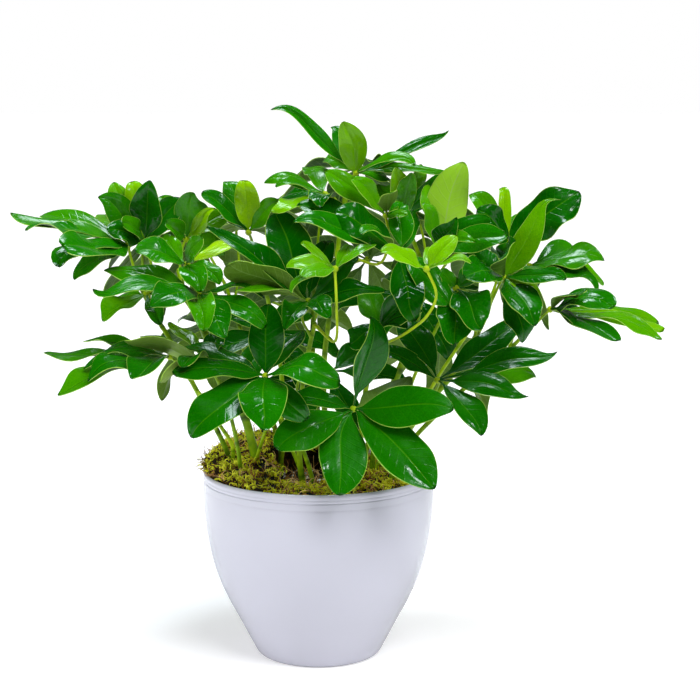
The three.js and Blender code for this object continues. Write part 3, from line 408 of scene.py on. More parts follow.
# Leaflets: rows along and columns across, the short stalk, the blade's thickness, its rib below and groove on
# top, how deep its root sits in the knob, where its last rows lie, and how its bends set in
ROWS = 24
ACROSS = (-1, -0.94, -0.76, -0.52, -0.28, -0.1, -0.035, 0, 0.035, 0.1, 0.28, 0.52, 0.76, 0.94, 1)
STALKLET_RADIUS = 0.75
BLADE_THICKNESS = 0.4
RIB_THICKNESS = 0.5
RIB_WIDTH = 0.08
GROOVE_DEPTH = 0.25
GROOVE_WIDTH = 0.05
ROOT_DEPTH = 1.5
LAST_ROWS = [0.93, 0.965, 0.988]
BLADE_EASE = 0.12
EDGE_POWER = 2.5
TWIST_FROM = 0.15
TWIST_POWER = 1.2
TIP_BEND_POWER = 6
TIP_BEND_SCALE = 17

# Lines on a leaflet, as shares of its half width, of a wave and of its length, and the scale of its folds
MIDRIB_EDGE = (0.015, 0.05)
# The edge line is a painted rim highlight: a bright pale line along the leaflet's edge
MARGIN_HIGHLIGHT_EDGE = (0.965, 0.99)
VEIN_EDGE = (0.86, 1.0)
VEINS = 11
VEIN_SLANT = 0.16
VEIN_WOBBLE = 0.035
FOLDS_SCALE = (2.5, 4.5, 8.0)

# How a leaflet may be shaped: where its blade begins and is widest, how full its base and tip are, how far
# its halves fold up and its edges turn, and how it bends. Lengths are shares of the leaflet's length or
# width, and angles are degrees.
MANNERS = dict(
    begins=(0.07, 0.18), widest=(0.5, 0.68), base=(0.85, 1.3), tip=(0.4, 0.85), fold=(-0.05, 0.5),
    edge_turn=(-0.2, 1.0), twist=(-12, 12), sweep=(-0.06, 0.06), snake=(-0.025, 0.025), skew=(0.1, 0.95),
    hook=(-0.06, 0.06), curl=(-0.05, 0.08), extra_arch=(-0.01, 0.03), left_wave=(0.03, 0.2),
    right_wave=(0.03, 0.2), left_pace=(0.9, 2.2), right_pace=(0.9, 2.2), left_phase=(0, 1),
    right_phase=(0, 1), uneven=(-0.12, 0.12), wider=(0.92, 1.06))
BENT = ("fold", "twist", "sweep", "snake", "hook", "curl", "extra_arch", "left_wave", "right_wave")

# How calm the leaflets of some leaves are, as a share of the usual bends
CALM = {"leaf_front": 0.45, "leaf_front_left": 0.55, "leaf_right_low": 0.7, "leaf_young_right": 0.6,
        "leaf_young_middle": 0.7, "leaf_young_top": 0.7}

# Leaflets whose shapes are given one by one, by their place in the leaf's list
SHAPES = {
    "leaf_top": {
        0: dict(begins=0.2, fold=0.6, twist=0, sweep=0, hook=0.04, extra_arch=0.03, skew=0, wider=0.95,
                left_wave=0.05, right_wave=0.05),
        1: dict(begins=0.04, widest=0.52, base=0.8, tip=0.8, sweep=0.12, hook=-0.03, fold=0.15, twist=0,
                left_wave=0.03, right_wave=0.03),
        2: dict(begins=0.06, base=1.3, tip=1.1, fold=0.6, snake=0.04, twist=0, wider=0.85, extra_arch=-0.02),
        3: dict(fold=0.4, twist=0, wider=0.8), 4: dict(fold=0.4, twist=0, tip=0.9, wider=0.8)},
    "leaf_right": {
        0: dict(begins=0.04, widest=0.38, tip=1.5, hook=-0.12, fold=0.15, twist=0, left_wave=0.02,
                right_wave=0.02),
        1: dict(fold=0.2, twist=4), 2: dict(fold=0.3), 3: dict(widest=0.5, tip=0.6, fold=0.2, twist=0)},
    "leaf_right_low": {
        0: dict(begins=0.3, widest=0.6, tip=1.2, hook=0.08, curl=0.02, fold=0.2, twist=0, snake=0.02),
        1: dict(begins=0.18, widest=0.52, tip=1.2, hook=0.08, curl=0.02, fold=0.2, twist=0),
        2: dict(begins=0.16, tip=0.7, fold=0.2, twist=0)},
    "leaf_right_top": {
        0: dict(begins=0.06, widest=0.6, base=0.7, tip=0.5, fold=0.1, twist=0),
        2: dict(begins=0.04, widest=0.58, base=0.65, tip=0.7, fold=0.05, twist=0, sweep=0.05)},
    "leaf_far_left": {
        0: dict(fold=0.3, twist=0, wider=1), 1: dict(fold=0.3, twist=0, wider=1, extra_arch=0),
        3: dict(begins=0.04, widest=0.7, base=0.8, tip=0.4, fold=0.1, twist=0, sweep=-0.12, extra_arch=-0.04,
                left_wave=0.14, right_wave=0.08)},
    "leaf_far_right": {
        0: dict(widest=0.6, tip=0.5, fold=0.1, twist=0), 1: dict(widest=0.72, tip=0.35, fold=0.1, twist=0),
        2: dict(widest=0.75, tip=0.35, fold=0.1, twist=0), 3: dict(widest=0.7, tip=0.4, fold=0.1, twist=0),
        4: dict(widest=0.78, base=1.1, tip=0.35, fold=0.1, twist=0)},
    "leaf_middle": {
        0: dict(begins=0.05, widest=0.5, tip=1.0, fold=0.4, edge_turn=0.2, twist=0, sweep=0, hook=0.03),
        1: dict(base=0.6, tip=0.4, fold=0.05, twist=0), 2: dict(base=0.7, tip=0.45, fold=0.05, twist=0)},
    "leaf_top_middle": {
        0: dict(fold=0.35, twist=0, tip=0.8, left_wave=0.05, right_wave=0.05, wider=0.9),
        1: dict(fold=0.1, tip=0.45, twist=0)},
    "leaf_crown": {1: dict(fold=-0.3, twist=0, tip=0.8, base=0.9, wider=0.9)},
    "leaf_left_elbow": {
        0: dict(fold=0.1, twist=0, hook=-0.14, curl=-0.02, left_wave=0.1, right_wave=0.08, tip=0.7,
                extra_arch=0, wider=0.85),
        2: dict(fold=-0.1, twist=0, tip=1.1, left_wave=0.16, right_wave=0.12, left_pace=1.2, right_pace=1.4),
        3: dict(tip=0.9, fold=0.1, twist=0, left_wave=0.14, right_wave=0.12)},
    "leaf_left_middle": {
        0: dict(begins=0.05, tip=0.9, base=0.8, fold=0.05, twist=0, left_wave=0.02, right_wave=0.02)},
    "leaf_front": {
        0: dict(tip=0.6, fold=0, twist=0), 1: dict(base=0.7, tip=0.75, widest=0.6, twist=0),
        2: dict(begins=0.12, base=0.7, tip=0.65, widest=0.58, twist=0, sweep=0.14, snake=0.05),
        3: dict(tip=0.5), 5: dict(base=1, tip=0.8, fold=0.7, edge_turn=0.4, twist=0)},
    "leaf_front_left": {
        0: dict(base=0.75, tip=0.6, widest=0.55), 1: dict(base=0.6, tip=0.4, widest=0.62, fold=0),
        2: dict(base=0.7, tip=0.6, widest=0.58, twist=0), 3: dict(base=0.7, tip=0.7, widest=0.55),
        4: dict(widest=0.72, base=0.9, tip=0.4, hook=0.06, twist=0)},
    "leaf_left_top": {
        0: dict(base=0.7, tip=0.7, widest=0.5, twist=0, sweep=0, hook=0, snake=0, fold=0.3, edge_turn=0.3)},
    "leaf_left_low": {
        0: dict(fold=0.1, twist=0, curl=0, extra_arch=-0.05, wider=0.72),
        1: dict(fold=0.15, twist=0, curl=0, extra_arch=0),
        2: dict(fold=0.1, twist=0, curl=0, extra_arch=0.02),
        5: dict(fold=0.1, twist=0, curl=0, extra_arch=0, wider=0.7)},
    "leaf_crown_left": {0: dict(tip=0.4, base=0.6, widest=0.6, fold=0.1, twist=0, sweep=0.04)},
    "leaf_right_middle": {0: dict(tip=0.7, base=0.7, widest=0.5, fold=0.25, twist=0, sweep=0.05)},
}


# Materials

def srgb(red, green, blue):
    """A colour given in 0 to 255 as the screen shows it, as linear values"""
    return tuple((c / 255 / 12.92) if c < 11 else ((c / 255 + 0.055) / 1.055) ** 2.4
                 for c in (red, green, blue)) + (1,)


def new_material(name, **values):
    material = bpy.data.materials.new(name)
    material.use_nodes = True
    shader = material.node_tree.nodes["Principled BSDF"]
    for socket, value in values.items():
        shader.inputs[socket.replace("_", " ")].default_value = value
    return material


def add(material, kind, inputs=(), **settings):
    """A shader node with its inputs, given as values or as the outputs that feed them"""
    made = material.node_tree.nodes.new("ShaderNode" + kind)
    for name, value in settings.items():
        setattr(made, name, value)
    for socket, value in dict(inputs).items():
        if isinstance(value, bpy.types.NodeSocket):
            material.node_tree.links.new(value, made.inputs[socket])
        else:
            made.inputs[socket].default_value = value
    return made


def finish_with(material, socket, output):
    shader = material.node_tree.nodes["Principled BSDF"]
    material.node_tree.links.new(output, shader.inputs[socket])


def place(material):
    return add(material, "TexCoord").outputs["Object"]


def noise_of(material, scale, detail=3, vector=None):
    inputs = {"Vector": vector or place(material), "Scale": scale, "Detail": detail}
    return add(material, "TexNoise", inputs).outputs["Fac"]


def math_of(material, operation, *values):
    return add(material, "Math", dict(enumerate(values)), operation=operation).outputs[0]


def scaled(material, value, factor, offset):
    return math_of(material, "MULTIPLY_ADD", value, factor, offset)


def mapped(material, value, start, end, low=0.0, high=1.0):
    """A value between start and end, as one between low and high"""
    return add(material, "MapRange", {0: value, 1: start, 2: end, 3: low, 4: high}).outputs[0]


def ramp(material, factor, *stops):
    """A colour along stops: the place of each from 0 to 1, and its red, green and blue from 0 to 255"""
    made = add(material, "ValToRGB", {"Fac": factor})
    elements = made.color_ramp.elements
    while len(elements) < len(stops):
        elements.new(0.5)
    for element, (position, *colour) in zip(elements, stops):
        element.position = position
        element.color = srgb(*colour)
    return made.outputs["Color"]


def toned(material, spread, stops):
    """The colour that a point's tone picks from the stops, after the spread is added to it"""
    tone = add(material, "Attribute", attribute_name="tone").outputs["Fac"]
    return ramp(material, math_of(material, "ADD", tone, spread), *stops)


def mix(material, factor, first, second):
    return add(material, "Mix", {0: factor, 6: first, 7: second}, data_type="RGBA").outputs[2]


def bump(material, height, distance, strength=1.0):
    made = add(material, "Bump", {"Height": height, "Distance": distance, "Strength": strength})
    finish_with(material, "Normal", made.outputs["Normal"])


def blade_lines(material):
    """The midrib, side veins, painted rim highlight along the edge and long soft folds of a leaflet, each
    from 0 to 1
    """
    where = add(material, "UVMap", uv_map="blade").outputs[0]
    along, across = add(material, "SeparateXYZ", {0: where}).outputs[:2]
    out = math_of(material, "ABSOLUTE", scaled(material, across, 2.0, -1.0))
    midrib = mapped(material, out, *MIDRIB_EDGE, 1.0, 0.0)
    slanted = scaled(material, out, -VEIN_SLANT, along)
    wobble = scaled(material, noise_of(material, 120, 1), VEIN_WOBBLE, slanted)
    wave = math_of(material, "SINE", math_of(material, "MULTIPLY", wobble, 2 * math.pi * VEINS))
    veins = mapped(material, wave, *VEIN_EDGE)
    # The bright pale line along the edge: a painted rim highlight
    margin_highlight = mapped(material, out, *MARGIN_HIGHLIGHT_EDGE)
    sources = (along, across, noise_of(material, 6, 0))
    stretched = add(material, "CombineXYZ", {
        axis: math_of(material, "MULTIPLY", source, scale)
        for axis, (source, scale) in enumerate(zip(sources, FOLDS_SCALE))}).outputs[0]
    return midrib, veins, margin_highlight, noise_of(material, 1, 1, stretched)


def leaf_material(name, stops, lines, patches, **values):
    """A side of a leaflet, with lines given as the share and colour of its veins, midrib and edge line; the
    edge line is a painted rim highlight
    """
    material = new_material(name, **values)
    mottle = noise_of(material, 55, 4)
    spread = scaled(material, mottle, patches, -patches / 2)
    grain = scaled(material, noise_of(material, 1100, 1), 0.24, -0.12)
    base = toned(material, math_of(material, "ADD", spread, grain), stops)
    midrib, veins, margin_highlight, folds = blade_lines(material)
    for line, (share, colour) in zip((veins, midrib, margin_highlight), lines):
        base = mix(material, math_of(material, "MULTIPLY", line, share), base, srgb(*colour))
    finish_with(material, "Base Color", base)
    creased = scaled(material, veins, -0.08, folds)
    grained = scaled(material, noise_of(material, 900, 2), 0.05, creased)
    bump(material, scaled(material, noise_of(material, 260, 2), 0.07, grained), 0.0009)
    rough = values["Roughness"]
    finish_with(material, "Roughness", mapped(material, mottle, 0.3, 0.7, rough - 0.06, rough + 0.08))
    return material


def stem_material(name, stops, rough):
    """A stem's or a stalk's smooth skin, whose colour follows the tone and drifts a little"""
    material = new_material(name, Roughness=rough, Specular_IOR_Level=0.25)
    spread = scaled(material, noise_of(material, 160, 4), 0.8, -0.4)
    finish_with(material, "Base Color", toned(material, spread, stops))
    bump(material, noise_of(material, 1400, 3), 0.0003, 0.5)
    return material


def speckled_material(name, stops, scale, depth, rough):
    """Crumbly or tufted: the colour follows the tone and a fine noise"""
    material = new_material(name, Roughness=rough)
    spread = scaled(material, noise_of(material, scale, 5), 0.9, -0.45)
    finish_with(material, "Base Color", toned(material, spread, stops))
    bump(material, noise_of(material, scale * 2.5, 5), depth)
    return material


def pot_material():
    material = new_material("pot_gloss", Coat_Weight=0.4, Coat_Roughness=0.08)
    colour = ramp(material, noise_of(material, 9, 3), (0.3, 205, 205, 219), (0.7, 209, 209, 223))
    finish_with(material, "Base Color", colour)
    finish_with(material, "Roughness", mapped(material, noise_of(material, 40, 4), 0.3, 0.7, 0.17, 0.24))
    bump(material, noise_of(material, 70, 2), 0.0001, 0.25)
    return material


MATERIALS = {
    "pot": pot_material(),
    # On both sides of a leaflet the last of the lines, the bright pale edge, is a painted rim highlight
    "leaf_top": leaf_material(
        "leaf_top", [(0.0, 3, 78, 0), (0.2, 22, 112, 0), (0.45, 66, 144, 0), (0.75, 112, 176, 0),
                     (1.0, 158, 206, 0)],
        lines=[(0.03, (96, 170, 10)), (0.22, (96, 170, 10)), (0.7, (196, 236, 100))],
        patches=0.24, Roughness=0.16, Specular_IOR_Level=0.35),
    # The undersides' palest stop is painted backlight, for the leaflet seen from below with light shining
    # through it
    "leaf_under": leaf_material(
        "leaf_under", [(0.0, 44, 88, 12), (0.3, 92, 130, 30), (0.7, 140, 170, 76), (1.0, 132, 184, 34)],
        lines=[(0.22, (136, 170, 84)), (0.55, (136, 170, 84)), (0.4, (160, 190, 90))],
        patches=0.16, Roughness=0.5, Specular_IOR_Level=0.25),
    "stalk": stem_material(
        "stalk", [(0.0, 76, 118, 8), (0.4, 124, 164, 10), (1.0, 182, 208, 20)], rough=0.34),
    "stem": stem_material(
        "stem", [(0.0, 44, 74, 4), (0.3, 92, 132, 4), (0.6, 142, 184, 6), (1.0, 200, 226, 40)], rough=0.38),
    "soil": speckled_material(
        "soil", [(0.0, 14, 9, 5), (0.5, 36, 25, 15), (1.0, 76, 54, 34)],
        scale=420, depth=0.0012, rough=0.85),
    "perlite": speckled_material(
        "perlite", [(0.0, 190, 186, 172), (1.0, 244, 242, 236)], scale=700, depth=0.0004, rough=0.8),
    "moss": speckled_material(
        "moss", [(0.0, 10, 5, 1), (0.25, 88, 54, 14), (0.45, 180, 138, 24), (0.6, 226, 222, 10),
                 (1.0, 254, 255, 70)],
        scale=500, depth=0.0008, rough=0.9),
    "straw": speckled_material(
        "straw", [(0.0, 80, 46, 14), (0.4, 190, 130, 66), (1.0, 250, 206, 140)],
        scale=500, depth=0.0004, rough=0.8),
}


# Meshes

class Shape:
    """Points in millimetres, faces, a material for each face, and a tone and a place for each point"""

    def __init__(self):
        self.points, self.faces, self.slots, self.tones, self.places = [], [], [], [], []
        self.count = 0

    def add(self, points, faces, slots=0, tones=0.0, places=None):
        points = np.asarray(points, float).reshape(-1, 3)
        self.points.append(points)
        self.faces += [[i + self.count for i in face] for face in faces]
        self.slots += [slots] * len(faces) if isinstance(slots, int) else list(slots)
        self.tones.append(np.broadcast_to(np.asarray(tones, float), len(points)))
        self.places.append(np.zeros((len(points), 2)) if places is None else places)
        self.count += len(points)


def make_piece(name, shape, materials, slot, *nodes):
    mesh = bpy.data.meshes.new(name)
    mesh.from_pydata((np.concatenate(shape.points) * MM).tolist(), [], shape.faces)
    mesh.shade_smooth()
    for material in materials:
        mesh.materials.append(MATERIALS[material])
    mesh.polygons.foreach_set("material_index", shape.slots)
    tone = mesh.attributes.new("tone", "FLOAT", "POINT")
    tone.data.foreach_set("value", np.concatenate(shape.tones))
    corners = np.zeros(len(mesh.loops), int)
    mesh.loops.foreach_get("vertex_index", corners)
    layer = mesh.uv_layers.new(name="blade")
    layer.data.foreach_set("uv", np.concatenate(shape.places)[corners].ravel())
    piece = bpy.data.objects.new(name, mesh)
    bpy.context.scene.collection.objects.link(piece)
    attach(piece, "root")
    if nodes:
        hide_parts(*nodes)
    return piece


def grid_faces(rows, columns, closed=False):
    """Quads between rows of points, and round each row where it is closed"""
    return [[i * columns + j, i * columns + (j + 1) % columns,
             (i + 1) * columns + (j + 1) % columns, (i + 1) * columns + j]
            for i in range(rows - 1) for j in range(columns if closed else columns - 1)]


def tube(points, radii, sides):
    """A tube along points with flat ends, as its points and faces"""
    points = np.array([tuple(p) for p in points])
    along = np.gradient(points, axis=0)
    along /= np.linalg.norm(along, axis=1)[:, None]
    side = np.cross((1.0, 0.0, 0.0), along[0])
    rings = []
    angles = np.arange(sides) * 2 * math.pi / sides
    for centre, way, radius in zip(points, along, radii):
        side = side - way * side.dot(way)
        side /= np.linalg.norm(side)
        up = np.cross(way, side)
        rings.append(centre + radius * (np.outer(np.cos(angles), side) + np.outer(np.sin(angles), up)))
    count = len(points) * sides
    ends = [list(range(sides))[::-1], list(range(count - sides, count))]
    return np.concatenate(rings), grid_faces(len(points), sides, closed=True) + ends


def lathe(profile, segments):
    """A closed body turned about the upright axis, from (radius, height) points that start and end on it"""
    angles = np.arange(segments) * 2 * math.pi / segments
    ring = np.stack([np.cos(angles), np.sin(angles)], axis=1)
    inner = np.array(profile[1:-1])
    points = [np.column_stack([ring * r, np.full(segments, z)]) for r, z in inner]
    count = len(inner) * segments
    points.append([[0, 0, profile[0][1]], [0, 0, profile[-1][1]]])
    faces = grid_faces(len(inner), segments, closed=True)
    last = count - segments
    faces += [[count, (k + 1) % segments, k] for k in range(segments)]
    faces += [[count + 1, last + k, last + (k + 1) % segments] for k in range(segments)]
    return np.concatenate(points), faces


def smooth_line(points, steps):
    """Points on a smooth line through the given ones"""
    count = steps * (len(points) - 1)
    return [curve_point(points, i / count) for i in range(count + 1)]


# Curves: centripetal, so they never loop

def curve_point(points, share):
    place_along = (len(points) - 1) * share
    i = min(int(place_along), len(points) - 2)
    weight = place_along - i
    before = points[i - 1] if i > 0 else points[0] * 2 - points[1]
    after = points[i + 2] if i + 2 < len(points) else points[-1] * 2 - points[-2]
    four = [before, points[i], points[i + 1], after]
    gaps = [max((b - a).length, 1e-4) ** 0.5 for a, b in zip(four, four[1:])]
    a, b, c, d = four
    leave = (b - a) / gaps[0] - (c - a) / (gaps[0] + gaps[1]) + (c - b) / gaps[1]
    reach = (c - b) / gaps[1] - (d - b) / (gaps[1] + gaps[2]) + (d - c) / gaps[2]
    leave, reach = leave * gaps[1], reach * gaps[1]
    bend = b * -3 + c * 3 - leave * 2 - reach
    close = b * 2 - c * 2 + leave + reach
    return b + leave * weight + bend * weight ** 2 + close * weight ** 3


def curve_way(points, share):
    step = 1e-4
    ahead = curve_point(points, min(share + step, 1))
    behind = curve_point(points, max(share - step, 0))
    return (ahead - behind).normalized()


def laid_out(point):
    """A point laid out as (across, height, depth), moved along its line of sight to that depth"""
    across, height, depth = point
    share = (depth - EYE.y) / -EYE.y
    return Vector((EYE.x + (across - EYE.x) * share, depth, EYE.z + (height - EYE.z) * share))


# Camera, floor and light

def camera():
    data = bpy.data.cameras.new("camera")
    data.lens = LENS_MM
    made = bpy.data.objects.new("camera", data)
    made.location = EYE * MM
    made.rotation_euler = (math.pi / 2 - LOOKS_DOWN, 0, 0)
    bpy.context.scene.collection.objects.link(made)
    bpy.context.scene.camera = made


def floor():
    corners = [(x * FLOOR_REACH, y * FLOOR_REACH, 0) for x, y in ((-1, -1), (1, -1), (1, 1), (-1, 1))]
    mesh = bpy.data.meshes.new("floor")
    mesh.from_pydata(corners, [], [[0, 1, 2, 3]])
    material = new_material("floor", Roughness=0.8, Specular_IOR_Level=0.2, Emission_Color=(1, 1, 1, 1))
    rays = add(material, "LightPath").outputs
    in_gloss = scaled(material, rays["Is Glossy Ray"], FLOOR_GLOW_IN_GLOSS - FLOOR_GLOW, FLOOR_GLOW)
    glow = scaled(material, rays["Is Diffuse Ray"], FLOOR_GLOW_ON_MATT - FLOOR_GLOW, in_gloss)
    finish_with(material, "Emission Strength", glow)
    tint = ramp(material, noise_of(material, 3, 2), (0.3, 225, 225, 226), (0.7, 228, 228, 228))
    finish_with(material, "Base Color", tint)
    mesh.materials.append(material)
    made = bpy.data.objects.new("floor", mesh)
    bpy.context.scene.collection.objects.link(made)


def area_light(name, at, size, power, colour, glossy=True, diffuse=True):
    data = bpy.data.lights.new(name, "AREA")
    data.shape = "DISK"
    data.size = size
    data.energy = power
    data.color = colour
    made = bpy.data.objects.new(name, data)
    made.location = at
    made.rotation_euler = (Vector(at) - Vector(LIGHTS_AIM)).to_track_quat("Z", "Y").to_euler()
    made.visible_glossy = glossy
    made.visible_diffuse = diffuse
    bpy.context.scene.collection.objects.link(made)


def sun_light(name, way, power, spread):
    data = bpy.data.lights.new(name, "SUN")
    data.energy = power
    data.angle = math.radians(spread)
    made = bpy.data.objects.new(name, data)
    made.rotation_euler = Vector(way).to_track_quat("Z", "Y").to_euler()
    made.visible_glossy = False
    bpy.context.scene.collection.objects.link(made)


def light():
    """A white studio. Its walls light the plant evenly, and only the one behind it shows in the gloss."""
    world = bpy.data.worlds.new("studio")
    world.use_nodes = True
    bpy.context.scene.world = world
    rays = add(world, "LightPath").outputs
    parts = add(world, "SeparateXYZ", {0: add(world, "TexCoord").outputs["Generated"]})
    behind = mapped(world, parts.outputs[1], *BACK_WALL_EDGE, 0.0, BACK_WALL_GLOSS)
    gloss = math_of(world, "ADD", behind, WALLS_GLOSS - 1)
    for_gloss = scaled(world, rays["Is Glossy Ray"], gloss, 1.0)
    strength = scaled(world, rays["Is Diffuse Ray"], WALLS_LIGHT - 1, for_gloss)
    background = world.node_tree.nodes["Background"]
    background.inputs["Color"].default_value = (1, 1, 1, 1)
    world.node_tree.links.new(strength, background.inputs["Strength"])
    bpy.context.scene.view_settings.view_transform = "Standard"
    sun_light("sun", way=(0.7, -0.9, 1.7), power=3.1, spread=40)
    area_light("top_light", at=(-0.12, 0.42, 1.65), size=0.6, power=15, colour=(0.8, 0.92, 1))
    area_light("left_light", at=(-1.6, -0.3, 0.7), size=0.6, power=12, colour=(1, 1, 1), glossy=False)
    area_light("spark_light", at=(0.8, -0.75, 1.45), size=0.2, power=3.5, colour=(0.9, 0.96, 1),
               diffuse=False)


# Pot

def pot():
    outside = smooth_line([Vector((r, 0, z)) for r, z in POT_OUTSIDE], 8)
    wall = [(p.x, p.z) for p in outside[1:] if p.z < GROOVES_FROM]
    widest, highest = POT_OUTSIDE[-1]
    for z in np.linspace(GROOVES_FROM, highest, GROOVE_ROWS):
        notch = sum(depth * math.exp(-((z - at) / half) ** 2) for at, depth, half in POT_GROOVES)
        wall.append((widest - notch, z))
    inside = smooth_line([Vector((r, 0, z)) for r, z in POT_INSIDE], 4)
    hollow = [(p.x, p.z) for p in inside]
    profile = [(0, 0), POT_OUTSIDE[0], *wall, *POT_RIM, *hollow, (0, POT_FLOOR)]
    shape = Shape()
    shape.add(*lathe(profile, POT_SEGMENTS))
    make_piece("fine_pot", shape, ["pot"], "pot", "pot")


# Soil and moss

def soil_top(radius):
    return SOIL_MIDDLE_HEIGHT + (SOIL_RIM_HEIGHT - SOIL_MIDDLE_HEIGHT) * radius / SOIL_RADIUS


def moss_top(angle, radius):
    lumps = sum(math.sin(around * angle + turn * radius) for around, turn in MOSS_WAVES)
    higher = MOSS_HIGH_RISE * max(0, math.cos(angle - MOSS_HIGH_SIDE))
    return soil_top(radius) + MOSS_DEPTH + MOSS_LUMP * lumps + higher


def rough_height(point, scale, depth):
    return depth * noise.turbulence(Vector(point) / scale, 4, False)


def soil():
    rings, segments = 26, 120
    wall = [(r - SOIL_GAP, z + SOIL_GAP) for r, z in reversed(POT_INSIDE)]
    top = [(r, soil_top(r)) for r in (SOIL_RADIUS * (k / rings) for k in range(rings, 0, -1))]
    points, faces = lathe([(0, POT_FLOOR + SOIL_GAP), *wall, *top, (0, SOIL_MIDDLE_HEIGHT)], segments)
    for point in points:
        if point[2] > SOIL_RIM_HEIGHT - 1 and math.hypot(point[0], point[1]) < SOIL_RADIUS - 1:
            point[2] += rough_height(point, *SOIL_DENTS) - SOIL_DENTS[1] / 2
    shape = Shape()
    shape.add(points, faces, tones=0.45)
    make_piece("fine_soil", shape, ["soil"], "soil", "soil")


def chips(name, material, count, sizes, reach, seed, tones):
    """Angular bits strewn on the soil, each a dented body of twelve corners"""
    chance = random.Random(seed)
    golden = (1 + 5 ** 0.5) / 2
    corners = np.array([(0, s, t * golden) for s in (-1, 1) for t in (-1, 1)])
    corners = np.concatenate([np.roll(corners, k, axis=1) for k in range(3)]) / CHIP_CORNERS_OUT
    faces = hull_faces(corners)
    shape = Shape()
    for _ in range(count):
        angle = chance.uniform(0, 2 * math.pi)
        radius = reach * math.sqrt(chance.random())
        size = chance.uniform(*sizes)
        turn = Quaternion((chance.gauss(0, 1), chance.gauss(0, 1), chance.gauss(0, 1), 1)).normalized()
        stretch = np.array([chance.uniform(*CHIP_STRETCH) for _ in range(3)])
        dents = np.array([chance.uniform(*CHIP_DENTS) for _ in corners])[:, None]
        height = soil_top(radius) + size * CHIP_LIFT
        at = np.array([radius * math.cos(angle), radius * math.sin(angle), height])
        points = corners * dents * stretch * size @ np.array(turn.to_matrix()).T + at
        shape.add(points, faces, tones=chance.uniform(*tones))
    make_piece(name, shape, [material], "soil")


def hull_faces(corners):
    """The triangles of a small convex body, facing out"""
    found = []
    for a in range(len(corners)):
        for b in range(a + 1, len(corners)):
            for c in range(b + 1, len(corners)):
                normal = np.cross(corners[b] - corners[a], corners[c] - corners[a])
                sides = (corners - corners[a]) @ normal
                if (sides < 1e-6).all():
                    found.append([a, b, c])
                elif (sides > -1e-6).all():
                    found.append([a, c, b])
    return found


def held_inside(threads):
    """Threads moved towards the axis until all that is below the rim is inside the pot"""
    out = np.linalg.norm(threads[:, :, :2], axis=2)
    low = threads[:, :, 2] < RIM_HEIGHT + RIM_MARGIN
    over = np.where(low, out - SOIL_RADIUS + WALL_MARGIN, 0).max(axis=1)
    inwards = threads[:, 0, :2] / out[:, :1]
    threads[:, :, :2] -= (np.maximum(over, 0)[:, None] * inwards)[:, None]
    return threads


def curls(shape, starts, ways, turns, lengths, radii, tones, free=False):
    """Thin tapering threads that leave their start points along ways and turn through an arc"""
    sides = THREAD_SIDES
    shares = np.linspace(0, 1, THREAD_STEPS + 1)
    unit = ways / np.linalg.norm(ways, axis=1)[:, None]
    bent = np.cross(unit, turns)
    bent /= np.linalg.norm(bent, axis=1)[:, None]
    side = np.cross(unit, bent)
    arcs = np.linalg.norm(turns, axis=1)
    sines = np.sin(arcs[:, None] * shares)[:, :, None]
    cosines = np.cos(arcs[:, None] * shares)[:, :, None]
    reach = (lengths / arcs)[:, None, None]
    centre = starts[:, None] + reach * (sines * unit[:, None] + (1 - cosines) * bent[:, None])
    outward = sines * unit[:, None] - cosines * bent[:, None]
    round_angles = np.arange(sides) * 2 * math.pi / sides
    thin = (radii[:, None] * (1 - THREAD_TAPER * shares ** 2))[:, :, None, None]
    ring = (np.cos(round_angles)[None, None, :, None] * outward[:, :, None]
            + np.sin(round_angles)[None, None, :, None] * side[:, None, None])
    count = len(shares) * sides
    points = (centre[:, :, None] + ring * thin).reshape(-1, count, 3)
    ends = [list(range(sides))[::-1], list(range(count - sides, count))]
    one = grid_faces(len(shares), sides, closed=True) + ends
    faces = [[i + k * count for i in face] for k in range(len(starts)) for face in one]
    shape.add(points if free else held_inside(points), faces, tones=np.repeat(tones, count))


def random_turns(chance, ways, arcs):
    """An axis across each way, as long as the arc to turn through"""
    turns = np.cross(ways, chance.normal(0, 1, ways.shape))
    return turns * (chance.uniform(*arcs, len(ways)) / np.linalg.norm(turns, axis=1))[:, None]


def moss():
    rings, segments = 14, 220
    span = SOIL_RADIUS - MOSS_INNER
    angles = [k * 2 * math.pi / segments for k in range(segments)]
    ways = [(math.cos(angle), math.sin(angle)) for angle in angles]
    rows, tones = [], []
    for k in range(rings + 1):
        radius = SOIL_RADIUS - span * k / rings
        fall = MOSS_EDGE_FALL if k in (0, rings) else 0
        for angle, (x, y) in zip(angles, ways):
            point = Vector((x * radius, y * radius, moss_top(angle, radius) - fall))
            point.z += rough_height(point, *MOSS_DENTS) - MOSS_SINK
            rows.append(point)
            # The moss body is nearly black brown: the mat's own dark brown, with painted shade for the gaps
            # between threads
            tones.append(0.03 + 0.2 * noise.noise(point / 11))
    under = [(x * r, y * r, soil_top(r) + SOIL_GAP) for r in (MOSS_INNER, SOIL_RADIUS) for x, y in ways]
    points = [tuple(p) for p in rows] + under
    faces = grid_faces(rings + 3, segments, closed=True)
    last = (rings + 2) * segments
    faces += [[last + k, last + (k + 1) % segments, (k + 1) % segments, k] for k in range(segments)]
    shape = Shape()
    shape.add(points, faces, tones=tones + [0.2] * len(under))
    make_piece("fine_moss", shape, ["moss"], "moss", "moss")


